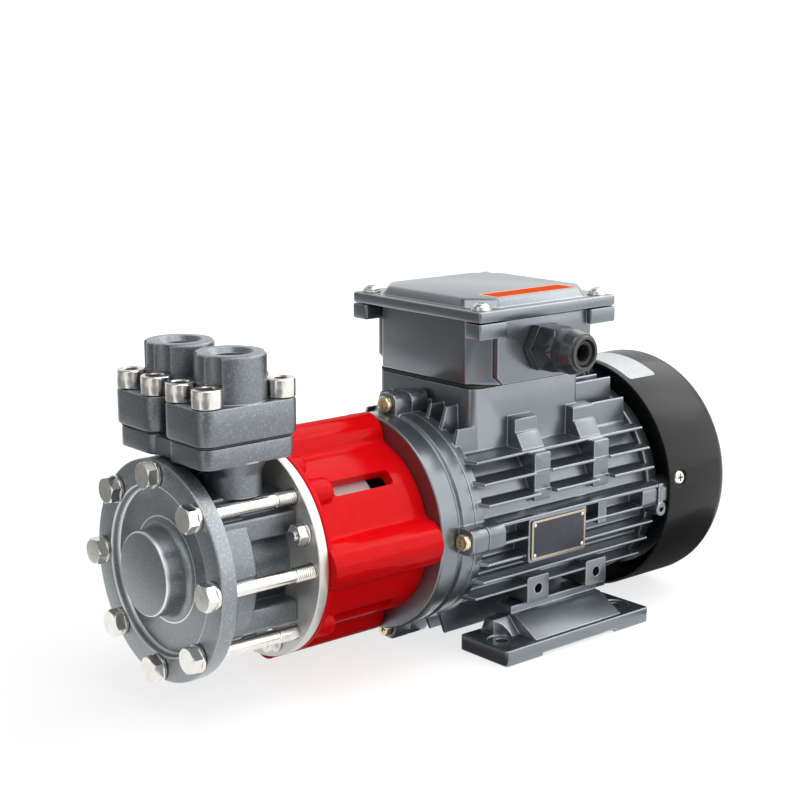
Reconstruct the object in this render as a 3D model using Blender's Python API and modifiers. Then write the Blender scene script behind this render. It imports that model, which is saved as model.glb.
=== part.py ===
"""Magnetic drive pump with a peripheral impeller, close coupled to a frame 71 motor.

Every sub-part is modelled about the shaft. X runs along the shaft from the pump's front cover to
the motor's fan, X = 0 is the motor's drive end face, and Z is up. The unit hangs on one empty,
which puts the feet on Z = 0 and the origin under the middle of the unit. Lengths are in metres.
"""

import math

import bmesh
import bpy
from mathutils import Matrix, Vector

# Fits
SEAT = 0.0003               # gap left where one piece sits on another
HOLE_PLAY = 0.0005          # radial play of a screw in its hole

# Facets of a turned piece, by its size
LARGE = 24
MEDIUM = 16
SMALL = 8
CAP_SEGMENTS = 8

# Motor frame 71: the sizes that a bench or a base plate depends on
SHAFT_HEIGHT = 0.071
FOOT_GAUGE = 0.112          # across the foot holes
FOOT_PITCH = 0.090          # along the foot holes
FOOT_HOLE_SETBACK = 0.0455  # drive end face to the first foot hole
FOOT_HOLE_RADIUS = 0.0035
FOOT_LENGTH = 0.112
FOOT_REACH = 0.0715         # shaft plane to the foot's outer edge
FOOT_WIDTH = 0.0366
FOOT_THICKNESS = 0.0089
FOOT_RELIEF = 0.002
FOOT_PAD_LENGTH = 0.027
FOOT_LEDGE_HEIGHT = 0.0185
FOOT_LEDGE_REACH = 0.0525
FOOT_LEDGE_WIDTH = 0.003
FOOT_POST_WIDTH = 0.012
FOOT_WEB_SETBACK = 0.0245   # bar end to web, at the front
FOOT_WEB_LENGTH = 0.067
FOOT_EDGE = 0.0025          # flat left along the bar's outer edge
FOOT_GUSSET_LENGTH = 0.012
FOOT_GUSSET_REACH = 0.056
FOOT_GUSSET_INSET = 0.005   # ledge to gusset
FOOT_GUSSET_WIDTH = 0.006

# Lengths along the shaft, forwards from the motor's drive end face
LANTERN_LENGTH = 0.0707
RING_THICKNESS = 0.006
CASING_LENGTH = 0.0476
COVER_THICKNESS = 0.0087
BOSS_HEIGHT = 0.0082

# Pump end
FLANGE_RADIUS = 0.0553      # cover, adapter ring and lantern rim
TIE_CIRCLE = 0.0487
TIE_COUNT = 8
TIE_SHANK_RADIUS = 0.0036
HEX_HEAD_RADIUS = 0.0075    # to the corners
HEX_HEAD_HEIGHT = 0.0053
WASHER_RADIUS = 0.0072
WASHER_THICKNESS = 0.0019
COVER_RECESS_RADIUS = 0.0425
COVER_RECESS_DEPTH = 0.0045
BOSS_RADIUS = 0.0219
BOSS_FILLET = 0.0036
CHAMBER_RADIUS = 0.0373
CHAMBER_DEPTH = 0.0115
BAND_RADIUS = 0.0446
BAND_LENGTH = 0.0189
BARREL_RADIUS = 0.031
GASKET_RADIUS = 0.0407      # middle of the ring's section
GASKET_WIDTH = 0.0025
GASKET_HEIGHT = 0.002
SIDE_RIB_REACH = 0.0369
SIDE_RIB_LOW = 0.017
SIDE_RIB_HIGH = 0.0285
SIDE_RIB_DEPTH = 0.014
TOP_RIB_WIDTH = 0.0162
TOP_RIB_HEIGHT = 0.0364
TOP_RIB_ROOT = 0.020

# Ports
PORT_SPACING = 0.0436
PORT_SETBACK = 0.0216       # casing front to port axis
NECK_RADIUS = 0.01375
NECK_BOTTOM = 0.0386        # above the shaft
PORT_BASE_BOTTOM = 0.0558
PORT_BASE_THICKNESS = 0.0102
PORT_BASE_INSET = 0.0015
PORT_GASKET_THICKNESS = 0.0006
PORT_PLATE_LENGTH = 0.057
PORT_PLATE_WIDTH = 0.0365
PORT_PLATE_THICKNESS = 0.0177
PORT_PLATE_CORNER = 0.007
PORT_BOSS_RADIUS = 0.0175
PORT_BOSS_HEIGHT = 0.0229
PORT_THREAD_RADIUS = 0.0093
PORT_THREAD_DEPTH = 0.016
PORT_MOUTH_RADIUS = 0.0115
PORT_BORE_RADIUS = 0.0062
PORT_SCREW_PITCH_X = 0.0423
PORT_SCREW_PITCH_Y = 0.0219
PORT_SCREW_RADIUS = 0.004
PORT_SCREW_GRIP = 0.008     # thread length in the casing
CAP_HEAD_RADIUS = 0.0073
CAP_HEAD_HEIGHT = 0.0093
CAP_SOCKET_RADIUS = 0.0038
CAP_SOCKET_DEPTH = 0.004
FLUTE_RADIUS = 0.0083

# Pump internals
PUMP_SHAFT_RADIUS = 0.006
FRONT_BUSH_RADIUS = 0.009
FRONT_BUSH_LENGTH = 0.0109
REAR_BUSH_RADIUS = 0.010
REAR_BUSH_LENGTH = 0.0125
IMPELLER_RADIUS = 0.0365
IMPELLER_THICKNESS = 0.0098
IMPELLER_HUB_RADIUS = 0.012
VANE_COUNT = 16
VANE_POCKET_WIDTH = 0.0046
VANE_POCKET_DEPTH = 0.0032
VANE_ROOT_RADIUS = 0.029
CAN_RADIUS = 0.0262
CAN_WALL = 0.0012
CAN_FLANGE_RADIUS = 0.030
CAN_FLANGE_THICKNESS = 0.0022
CAN_END = 0.034             # motor face to the can's closed end
INNER_MAGNET_RADIUS = 0.0242
INNER_MAGNET_FRONT = 0.071
INNER_MAGNET_REAR = 0.040
OUTER_MAGNET_BORE = 0.028
OUTER_MAGNET_RADIUS = 0.038
OUTER_MAGNET_FRONT = 0.066
OUTER_MAGNET_REAR = 0.0205
OUTER_MAGNET_HUB_RADIUS = 0.014
OUTER_MAGNET_HUB_END = 0.004

# Adapter ring nuts and lantern
NUT_CIRCLE = 0.047
NUT_COUNT = 4
NUT_PHASE = math.radians(22.5)
NUT_CORNER_RADIUS = 0.0056
NUT_HEIGHT = 0.005
NUT_WASHER_RADIUS = 0.006
NUT_WASHER_THICKNESS = 0.0012
STUD_RADIUS = 0.003
STUD_GRIP = 0.009
RIM_THICKNESS = 0.003
LANTERN_RADIUS = 0.0478
LANTERN_BORE = 0.0415
LANTERN_FLOOR = 0.007
TUNNEL_COUNT = 4
TUNNEL_RADIUS = 0.0123
TUNNEL_CIRCLE = 0.0477
TUNNEL_ROUNDING = 0.005
RIM_BOSS_RADIUS = 0.007
RIM_BOSS_LENGTH = 0.0165
SMALL_BOSS_RADIUS = 0.005
SMALL_BOSS_LENGTH = 0.0125
SMALL_BOSS_ANGLE = math.radians(67.5)
BOSS_ROUNDING = 0.003
WINDOW_HEIGHT = 0.0085
WINDOW_FRONT = 0.0525
WINDOW_REAR = 0.0134
WINDOW_CORNER = 0.0025

# Motor
SHIELD_RADIUS = 0.0585
SHIELD_RIM_RADIUS = 0.058
SHIELD_GROOVE_RADIUS = 0.0563
SHIELD_LENGTH = 0.0237
COLLAR_LENGTH = 0.0125
SPIGOT_RADIUS = 0.035
SPIGOT_HEIGHT = 0.0025
HOUSING_LENGTH = 0.134
HOUSING_BORE = 0.0515
HOUSING_ROOT_RADIUS = 0.055
HOUSING_BAND_LENGTH = 0.0065
FIN_PITCH = 0.0106
FIN_THICKNESS = 0.0018
FIN_RADIUS = 0.0645
FIN_FLAT = 0.063            # flat outline over and under the motor
FIN_TIP_LENGTH = 0.008
LUG_WIDTH = 0.014
LUG_REACH = 0.0685
LUG_ROOT = 0.050
LUG_FRONT = 0.0125          # on the drive end shield
LUG_REAR = 0.012            # on the housing, behind the seam
LUG_COUNT = 4
SHIELD_SCREW_CIRCLE = 0.0625
SHIELD_SCREW_RADIUS = 0.0022
SHIELD_SCREW_GRIP = 0.008
PAN_HEAD_RADIUS = 0.0046
PAN_HEAD_HEIGHT = 0.003
SIDE_RIB_THICKNESS = 0.0018
SIDE_RIB_EDGE = 0.0068      # top edge above the shaft
SIDE_RIB_TIP = 0.0668
SIDE_PAD_LENGTH = 0.0166
SIDE_PAD_REACH = 0.0535
SIDE_PAD_LOW = 0.0328
SIDE_PAD_HIGH = 0.0478
SIDE_PAD_HOLE_RADIUS = 0.0028
SIDE_PAD_HOLE_DEPTH = 0.009
SIDE_PAD_FRONT = 0.0672
SIDE_PAD_PITCH = 0.046
UPPER_PAD_LOW = 0.0105
UPPER_PAD_HIGH = 0.0372
UPPER_PAD_LENGTH = 0.0125
UPPER_PAD_REACH = 0.0575
STATOR_RADIUS = 0.0512
STATOR_BORE = 0.0316
STATOR_LENGTH = 0.070
WINDING_OVERHANG = 0.014
WINDING_THICKNESS = 0.010
ROTOR_RADIUS = 0.0311
ROTOR_RING_OVERHANG = 0.006
ROTOR_RING_RADIUS = 0.028
SHAFT_EXTENSION = 0.030
SHAFT_END_RADIUS = 0.007
SHAFT_BEARING_RADIUS = 0.0075
SHAFT_BODY_RADIUS = 0.009
SHAFT_FAN_RADIUS = 0.006
BEARING_RADIUS = 0.0175
BEARING_WIDTH = 0.011
BEARING_SETBACK = 0.009     # shield face to bearing
BEARING_HUB_RADIUS = 0.0215
SHIELD_DISH_RADIUS = 0.042
REAR_SHIELD_LENGTH = 0.0087
FAN_RADIUS = 0.059
FAN_BLADE_COUNT = 8
FAN_BLADE_THICKNESS = 0.0018
FAN_BLADE_WIDTH = 0.020
FAN_DISC_THICKNESS = 0.002
FAN_HUB_RADIUS = 0.011
FAN_SETBACK = 0.0055        # rear shield hub to fan
COWL_RADIUS = 0.0686
COWL_WALL = 0.0012
COWL_FRONT = 0.1656
COWL_LENGTH = 0.053
COWL_ROUNDING = 0.009
COWL_SCREW_SETBACK = 0.0094
COWL_SCREW_RADIUS = 0.002
GRILLE_SLOTS = ((24, 0.036, 0.054), (12, 0.017, 0.031))
GRILLE_SLOT_WIDTH = 0.0035

# Terminal box
PEDESTAL_LENGTH = 0.082
PEDESTAL_WIDTH = 0.077
PEDESTAL_TOP = 0.0725       # above the shaft
PEDESTAL_FRONT = 0.0386
PEDESTAL_CORNER = 0.005
WIRE_HOLE_RADIUS = 0.012
BOX_GASKET_THICKNESS = 0.0017
BOX_LENGTH = 0.090
BOX_WIDTH = 0.093
BOX_HEIGHT = 0.0347
BOX_FRONT = 0.0376
BOX_CHAMFER = 0.013
BOX_WALL = 0.003
ENTRY_PAD_LENGTH = 0.0705
ENTRY_PAD_PROUD = 0.002
LID_LENGTH = 0.1027
LID_WIDTH = 0.1038
LID_THICKNESS = 0.006
LID_PLATEAU_HEIGHT = 0.0047
LID_PLATEAU_LENGTH = 0.093
LID_PLATEAU_WIDTH = 0.092
LID_PLATEAU_SLOPE = 0.003
LID_TAB_LENGTH = 0.020
LID_TAB_WIDTH = 0.012
LID_TAB_HEIGHT = 0.0085
SHOULDER_LENGTH = 0.0165
SHOULDER_TOP = 0.0552
SHOULDER_LEDGE = 0.0465
SHOULDER_FOOT = 0.0375
SHOULDER_PROUD = 0.006
SHOULDER_STEP = 0.001
SHOULDER_SETBACKS = (0.0262, 0.071)
TERMINAL_BLOCK_LENGTH = 0.042
TERMINAL_BLOCK_WIDTH = 0.024
TERMINAL_BLOCK_HEIGHT = 0.011
TERMINAL_BLOCK_GAP = 0.0035 # box wall to block
TERMINAL_STUD_RADIUS = 0.0022
TERMINAL_STUD_HEIGHT = 0.009
TERMINAL_STUD_PITCH = 0.013

# Cable gland
GLAND_SETBACK = 0.042       # box front to gland axis
GLAND_HEIGHT = 0.0182       # box floor to gland axis
GLAND_HEX_RADIUS = 0.01385
GLAND_HEX_THICKNESS = 0.005
GLAND_THREAD_RADIUS = 0.0098
GLAND_SPIGOT_LENGTH = 0.0075
GLAND_STUB_RADIUS = 0.0085
GLAND_STUB_LENGTH = 0.012
GLAND_BORE_RADIUS = 0.0057
GLAND_NUT_LENGTH = 0.0265
GLAND_NUT_HEX_LENGTH = 0.0145
GLAND_MOUTH_RADIUS = 0.0072
GLAND_SEAL_BORE = 0.0046

# Nameplate
NAMEPLATE_LENGTH = 0.041
NAMEPLATE_HEIGHT = 0.0215
NAMEPLATE_THICKNESS = 0.0008
NAMEPLATE_FRONT = 0.0575
NAMEPLATE_MIDDLE = -0.0075  # above the shaft
NAMEPLATE_REACH = 0.066

# Stations along the shaft, worked out from the lengths
RING_REAR = -LANTERN_LENGTH
RING_FRONT = RING_REAR - RING_THICKNESS
CASING_FRONT = RING_FRONT - CASING_LENGTH
COVER_FRONT = CASING_FRONT - COVER_THICKNESS
BOSS_FACE = COVER_FRONT - BOSS_HEIGHT
SEAM = SHIELD_LENGTH
HOUSING_FRONT = SEAM + SEAT
HOUSING_REAR = HOUSING_FRONT + HOUSING_LENGTH
REAR_SHIELD_FRONT = HOUSING_REAR + SEAT
REAR_BEARING_REAR = REAR_SHIELD_FRONT + REAR_SHIELD_LENGTH + 0.0063
COWL_REAR = COWL_FRONT + COWL_LENGTH
PORT_X = CASING_FRONT + PORT_SETBACK
PORT_BASE_TOP = PORT_BASE_BOTTOM + PORT_BASE_THICKNESS
PORT_PLATE_BOTTOM = PORT_BASE_TOP + PORT_GASKET_THICKNESS + 2 * SEAT
PORT_PLATE_TOP = PORT_PLATE_BOTTOM + PORT_PLATE_THICKNESS
PORT_TOP = PORT_PLATE_TOP + PORT_BOSS_HEIGHT
BOX_BOTTOM = PEDESTAL_TOP + BOX_GASKET_THICKNESS + 2 * SEAT
BOX_TOP = BOX_BOTTOM + BOX_HEIGHT
LID_BOTTOM = BOX_TOP + SEAT
LID_TOP = LID_BOTTOM + LID_THICKNESS
BOX_X = BOX_FRONT + BOX_LENGTH / 2
PEDESTAL_X = PEDESTAL_FRONT + PEDESTAL_LENGTH / 2
GLAND_X = BOX_FRONT + GLAND_SETBACK
GLAND_Z = BOX_BOTTOM + GLAND_HEIGHT
GLAND_FACE = BOX_WIDTH / 2 + ENTRY_PAD_PROUD
GLAND_NUT_FACE = GLAND_FACE + GLAND_HEX_THICKNESS + 2 * SEAT
GLAND_TIP = GLAND_NUT_FACE + GLAND_NUT_LENGTH
FAN_FRONT = REAR_BEARING_REAR + SEAT + 0.003 + FAN_SETBACK
CHAMBER_REAR = CASING_FRONT + SEAT + CHAMBER_DEPTH
STATOR_FRONT = HOUSING_FRONT + (HOUSING_LENGTH - STATOR_LENGTH) / 2
STATOR_REAR = STATOR_FRONT + STATOR_LENGTH

# Place of the shaft in the unit's frame: middle of the unit's box, feet on Z = 0
UNIT_X = -(BOSS_FACE + COWL_REAR) / 2
UNIT_Y = (GLAND_TIP - FOOT_REACH) / 2

FULL_TURN = 2 * math.pi
TURN_TO = {
    "X": Matrix.Rotation(math.pi / 2, 4, "Y"),
    "Y": Matrix.Rotation(-math.pi / 2, 4, "X"),
    "Z": Matrix.Identity(4),
}


def clear_scene():
    """Remove what the file opens with."""
    for obj in list(bpy.data.objects):
        bpy.data.objects.remove(obj, do_unlink=True)


def make_collection(name):
    collection = bpy.data.collections.new(name)
    bpy.context.scene.collection.children.link(collection)
    return collection


def make_material(name, rgb, roughness, metallic):
    """One plain finish: colour, roughness and metallic value."""
    material = bpy.data.materials.new(name)
    material.use_nodes = True
    shader = material.node_tree.nodes["Principled BSDF"]
    shader.inputs["Base Color"].default_value = (*rgb, 1.0)
    shader.inputs["Roughness"].default_value = roughness
    shader.inputs["Metallic"].default_value = metallic
    material.diffuse_color = (*rgb, 1.0)
    return material


clear_scene()
PARTS = make_collection("magnetic_drive_pump")
CUTTERS = make_collection("cutters")

CAST_IRON = (0.105, 0.115, 0.125)
MACHINED_STEEL = (0.58, 0.58, 0.57)
STAINLESS = (0.62, 0.60, 0.57)
LANTERN_RED = (0.72, 0.006, 0.012)
MOTOR_GREY = (0.13, 0.15, 0.17)
COWL_BLACK = (0.012, 0.012, 0.013)
RUBBER_BLACK = (0.015, 0.015, 0.016)
ZINC_YELLOW = (0.66, 0.47, 0.24)
GRAPHITE = (0.03, 0.03, 0.032)
PLASTIC_GREY = (0.10, 0.10, 0.10)


def empty(name, location, parent=None):
    obj = bpy.data.objects.new(name, None)
    obj.location = location
    obj.parent = parent
    obj.empty_display_size = 0.01
    PARTS.objects.link(obj)
    return obj


UNIT = empty("unit", (UNIT_X, UNIT_Y, SHAFT_HEIGHT))
MOTOR_AXIS = empty("motor_spin_axis", (0, 0, 0), UNIT)
IMPELLER_AXIS = empty("impeller_spin_axis", (0, 0, 0), UNIT)


def add_object(name, mesh, material, parent=UNIT, location=(0, 0, 0), collection=PARTS):
    """Put a mesh in the scene; a cutter is given no material and stays hidden from renders."""
    obj = bpy.data.objects.new(name, mesh)
    obj.parent = parent
    obj.location = location
    if material:
        mesh.materials.append(material)
        collection.objects.link(obj)
    else:
        CUTTERS.objects.link(obj)
        obj.hide_render = True
        obj.display_type = "WIRE"
    return obj


def mesh_from(bm, name):
    mesh = bpy.data.meshes.new(name)
    bmesh.ops.recalc_face_normals(bm, faces=bm.faces)
    bm.to_mesh(mesh)
    bm.free()
    return mesh


def shade(obj, angle=35):
    obj.data.shade_smooth()
    obj.data.set_sharp_from_angle(angle=math.radians(angle))


def add_bar(bm, radius, start, end, axis="X", centre=(0, 0, 0), segments=SMALL, end_radius=None, phase=0.0):
    """Add a cylinder, cone or prism along an axis, from start to end, centred across it."""
    place = Vector(centre)
    place["XYZ".index(axis)] = (start + end) / 2
    turn = TURN_TO[axis] @ Matrix.Rotation(phase, 4, "Z")
    return bmesh.ops.create_cone(
        bm, cap_ends=True, segments=segments, radius1=radius,
        radius2=radius if end_radius is None else end_radius,
        depth=end - start, matrix=Matrix.Translation(place) @ turn)["verts"]


def add_block(bm, low, high, corner=0.0, corner_axis="Z", corner_steps=2):
    """Add a block between two corners; its edges along one axis can be rounded or chamfered."""
    size = Vector(high) - Vector(low)
    middle = (Vector(high) + Vector(low)) / 2
    place = Matrix.Translation(middle) @ Matrix.Diagonal((*size, 1.0))
    verts = bmesh.ops.create_cube(bm, size=1.0, matrix=place)["verts"]
    if corner:
        along = Vector([float(letter == corner_axis) for letter in "XYZ"])
        edges = {edge for vert in verts for edge in vert.link_edges}
        upright = [edge for edge in edges if abs((edge.verts[0].co - edge.verts[1].co).normalized().dot(along)) > 0.9]
        bmesh.ops.bevel(bm, geom=upright, offset=corner, segments=corner_steps, profile=0.5, affect="EDGES")
    return verts


def extrusion(points, start, end):
    """Outline of (y, z) points across the shaft, extruded along it."""
    bm = bmesh.new()
    face = bm.faces.new([bm.verts.new((start, y, z)) for y, z in points])
    grown = bmesh.ops.extrude_face_region(bm, geom=[face])["geom"]
    far_end = [item for item in grown if isinstance(item, bmesh.types.BMVert)]
    bmesh.ops.translate(bm, vec=(end - start, 0, 0), verts=far_end)
    return bm


def around(radius, angle):
    """Point on a circle about the shaft: angle 0 is the gland's side, a quarter turn is up."""
    return (0.0, -radius * math.cos(angle), radius * math.sin(angle))


def ring_angles(count, phase=0.0):
    return [phase + FULL_TURN * index / count for index in range(count)]


def turned_mesh(name, outline, segments, closed):
    """Profile of (station, radius) points, read clockwise with the shaft pointing right."""
    bm = bmesh.new()
    verts = [bm.verts.new((radius, 0.0, station)) for station, radius in reversed(outline)]
    for first, second in zip(verts, verts[1:]):
        bm.edges.new((first, second))
    if closed:
        bm.edges.new((verts[-1], verts[0]))
    mesh = bpy.data.meshes.new(name)
    bm.to_mesh(mesh)
    bm.free()
    return mesh


def turned(name, outline, material, segments=LARGE, parent=UNIT, axis="X", location=(0, 0, 0)):
    """Turn a profile about an axis; an outline that doesn't start on the axis is closed to a ring."""
    closed = outline[0][1] > 0
    obj = add_object(name, turned_mesh(name, outline, segments, closed), material, parent, location)
    if axis == "X":
        obj.rotation_euler = (0, math.pi / 2, 0)
    if axis == "-Y":
        obj.rotation_euler = (math.pi / 2, 0, 0)
    screw = obj.modifiers.new("turn", "SCREW")
    screw.axis = "Z"
    screw.angle = FULL_TURN
    screw.steps = segments
    screw.render_steps = segments
    screw.use_merge_vertices = True
    screw.merge_threshold = 0.00001
    screw.use_smooth_shade = True
    return obj


def solid(name, bm, material, parent=UNIT, location=(0, 0, 0)):
    obj = add_object(name, mesh_from(bm, name), material, parent, location)
    shade(obj)
    return obj


def tool(name, bm):
    """A hidden shape that is joined to a piece or cut from it."""
    return add_object(name, mesh_from(bm, name), None)


def boolean(obj, operand, operation):
    modifier = obj.modifiers.new(operand.name, "BOOLEAN")
    modifier.operation = operation
    modifier.object = operand
    modifier.solver = "EXACT"


def join(obj, operand):
    boolean(obj, operand, "UNION")


def cut(obj, operand):
    boolean(obj, operand, "DIFFERENCE")


def frozen_mesh(obj, name):
    """Apply an object's modifiers to a mesh that several pieces can share, and drop the object."""
    bpy.context.view_layer.update()
    evaluated = obj.evaluated_get(bpy.context.evaluated_depsgraph_get())
    mesh = bpy.data.meshes.new_from_object(evaluated)
    mesh.name = name
    bpy.data.objects.remove(obj, do_unlink=True)
    return mesh


def rounded_end(end, radius, rounding, steps=2):
    """Outline points from a cylinder's side round to its flat end, with the end at a high station."""
    points = []
    for index in range(steps + 1):
        angle = math.pi / 2 * index / steps
        points.append((end - rounding + rounding * math.sin(angle), radius - rounding + rounding * math.cos(angle)))
    return points


def front_cover(material):
    """Cast cover with a raised centre boss inside a dished face, and the front bush's pocket."""
    face = COVER_FRONT
    dish = COVER_FRONT + COVER_RECESS_DEPTH
    pocket = FRONT_BUSH_RADIUS + SEAT
    pocket_end = CASING_FRONT - FRONT_BUSH_LENGTH - 2 * SEAT
    outline = [
        (BOSS_FACE, 0), (BOSS_FACE, BOSS_RADIUS - 0.001), (BOSS_FACE + 0.001, BOSS_RADIUS),
        (dish - BOSS_FILLET, BOSS_RADIUS), (dish - BOSS_FILLET * 0.3, BOSS_RADIUS + BOSS_FILLET * 0.3),
        (dish, BOSS_RADIUS + BOSS_FILLET), (dish, COVER_RECESS_RADIUS - 0.001),
        (face, COVER_RECESS_RADIUS + 0.0006), (face, FLANGE_RADIUS - 0.0008), (face + 0.0008, FLANGE_RADIUS),
        (CASING_FRONT, FLANGE_RADIUS), (CASING_FRONT, pocket), (pocket_end, pocket), (pocket_end, 0),
    ]
    cover = turned("front_cover", outline, material)
    holes = bmesh.new()
    for angle in ring_angles(TIE_COUNT):
        add_bar(holes, TIE_SHANK_RADIUS + HOLE_PLAY, face - 0.002, CASING_FRONT + 0.002, centre=around(TIE_CIRCLE, angle))
    cut(cover, tool("cover_bolt_holes", holes))


def tie_bolts(material):
    """Hex bolts with washers that clamp cover and casing to the adapter ring."""
    tip = RING_REAR - COVER_FRONT - 0.0006
    seat = -SEAT
    washer = seat - WASHER_THICKNESS
    outline = [
        (washer, 0), (washer, WASHER_RADIUS), (seat, WASHER_RADIUS), (seat, TIE_SHANK_RADIUS),
        (tip, TIE_SHANK_RADIUS), (tip, 0),
    ]
    bolt = turned("tie_bolt_form", outline, material, SMALL)
    head = bmesh.new()
    add_bar(head, HEX_HEAD_RADIUS, washer - HEX_HEAD_HEIGHT, washer + 0.0003, segments=6)
    join(bolt, tool("tie_bolt_head", head))
    mesh = frozen_mesh(bolt, "tie_bolt")
    for number, angle in enumerate(ring_angles(TIE_COUNT), 1):
        offset = Vector(around(TIE_CIRCLE, angle))
        obj = bpy.data.objects.new(f"tie_bolt_{number}", mesh)
        obj.parent = UNIT
        obj.location = Vector((COVER_FRONT, 0, 0)) + offset
        obj.rotation_euler = (0, math.pi / 2, 0)
        PARTS.objects.link(obj)


def casing_gasket(material):
    """Seal ring in a groove of the casing's front face."""
    floor = CASING_FRONT + 2 * SEAT
    half = GASKET_WIDTH / 2
    outline = [
        (floor, GASKET_RADIUS - half), (floor, GASKET_RADIUS + half),
        (floor + GASKET_HEIGHT, GASKET_RADIUS + half), (floor + GASKET_HEIGHT, GASKET_RADIUS - half),
    ]
    turned("casing_gasket", outline, material)


def pump_casing(material):
    """Casting with the impeller chamber, barrel, ribs, port necks and the two port bases."""
    front = CASING_FRONT + SEAT
    band_end = front + BAND_LENGTH
    outline = [
        (front, 0), (front, BAND_RADIUS), (band_end, BAND_RADIUS), (band_end + 0.001, BARREL_RADIUS),
        (RING_FRONT, BARREL_RADIUS), (RING_FRONT, 0),
    ]
    casing = turned("pump_casing", outline, material)
    base_length = PORT_PLATE_LENGTH - 2 * PORT_BASE_INSET
    base_width = PORT_PLATE_WIDTH - 2 * PORT_BASE_INSET
    for side, label in ((-1, "near"), (1, "far")):
        ribs = bmesh.new()
        for low, high in ((SIDE_RIB_LOW, SIDE_RIB_HIGH), (-SIDE_RIB_HIGH, -SIDE_RIB_LOW)):
            across = sorted((side * SIDE_RIB_REACH, side * (SIDE_RIB_REACH - SIDE_RIB_DEPTH)))
            add_block(ribs, (front + 0.0005, across[0], low), (RING_FRONT - 0.0001, across[1], high), 0.001, "X", 1)
        join(casing, tool(f"side_ribs_{label}", ribs))
        middle = side * PORT_SPACING / 2
        half = TOP_RIB_WIDTH / 2
        rib = bmesh.new()
        add_block(rib, (front + 0.0007, middle - half, TOP_RIB_ROOT), (RING_FRONT - 0.0001, middle + half, TOP_RIB_HEIGHT))
        join(casing, tool(f"top_rib_{label}", rib))
        saddle = bmesh.new()
        add_block(
            saddle, (front + 0.0009, middle - half + 0.0003, TOP_RIB_ROOT + 0.001),
            (PORT_X + NECK_RADIUS - 0.002, middle + half - 0.0003, NECK_BOTTOM + 0.0004))
        join(casing, tool(f"neck_saddle_{label}", saddle))
        neck = bmesh.new()
        add_bar(neck, NECK_RADIUS, NECK_BOTTOM, PORT_BASE_BOTTOM + 0.002, "Z", (PORT_X, middle, 0), MEDIUM)
        join(casing, tool(f"port_neck_{label}", neck))
        base = bmesh.new()
        add_block(
            base, (PORT_X - base_length / 2, middle - base_width / 2, PORT_BASE_BOTTOM),
            (PORT_X + base_length / 2, middle + base_width / 2, PORT_BASE_TOP), PORT_PLATE_CORNER)
        join(casing, tool(f"port_base_{label}", base))
    bridge = bmesh.new()
    half_bridge = PORT_SPACING / 2 - base_width / 2 + 0.004
    add_block(
        bridge, (PORT_X - base_length / 2 + 0.002, -half_bridge, PORT_BASE_BOTTOM + 0.0004),
        (PORT_X + base_length / 2 - 0.002, half_bridge, PORT_BASE_TOP - 0.0004))
    join(casing, tool("port_base_bridge", bridge))
    cut_casing_bores(casing, front)


def cut_casing_bores(casing, front):
    """Chamber, shaft bore and magnet space, then the two flow paths and the screw holes."""
    gap = SEAT
    groove = GASKET_WIDTH / 2 + gap
    bores = turned("casing_bores", [
        (front - 0.001, 0), (front - 0.001, CHAMBER_RADIUS), (CHAMBER_REAR, CHAMBER_RADIUS),
        (CHAMBER_REAR, REAR_BUSH_RADIUS + gap), (CHAMBER_REAR + REAR_BUSH_LENGTH, REAR_BUSH_RADIUS + gap),
        (CHAMBER_REAR + REAR_BUSH_LENGTH, CAN_RADIUS - CAN_WALL), (RING_FRONT + 0.001, CAN_RADIUS - CAN_WALL),
        (RING_FRONT + 0.001, 0)], None, LARGE)
    cut(casing, bores)
    grooves = turned("casing_gasket_groove", [
        (front - 0.001, GASKET_RADIUS - groove), (front - 0.001, GASKET_RADIUS + groove),
        (front + GASKET_HEIGHT + 2 * gap, GASKET_RADIUS + groove), (front + GASKET_HEIGHT + 2 * gap, GASKET_RADIUS - groove)],
        None, LARGE)
    cut(casing, grooves)
    duct_height = CHAMBER_RADIUS - 0.0073
    duct_radius = 0.0045
    passages = bmesh.new()
    ducts = bmesh.new()
    holes = bmesh.new()
    for side in (-1, 1):
        middle = side * PORT_SPACING / 2
        add_bar(passages, PORT_BORE_RADIUS, duct_height - duct_radius - 0.001, PORT_BASE_TOP + 0.001, "Z", (PORT_X, middle, 0))
        add_bar(ducts, duct_radius, CHAMBER_REAR - 0.005, PORT_X, "X", (0, middle, duct_height))
        for x, y in port_screw_places(middle):
            add_bar(
                holes, PORT_SCREW_RADIUS + gap, PORT_BASE_TOP - PORT_SCREW_GRIP - 0.001, PORT_BASE_TOP + 0.001, "Z", (x, y, 0),
                CAP_SEGMENTS)
    cut(casing, tool("port_passages", passages))
    cut(casing, tool("chamber_ducts", ducts))
    cut(casing, tool("port_tapped_holes", holes))


def port_screw_places(middle):
    """Four screw axes of the port flange centred at this distance from the shaft plane."""
    return [
        (PORT_X + along * PORT_SCREW_PITCH_X / 2, middle + across * PORT_SCREW_PITCH_Y / 2)
        for along in (-1, 1) for across in (-1, 1)]


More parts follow.
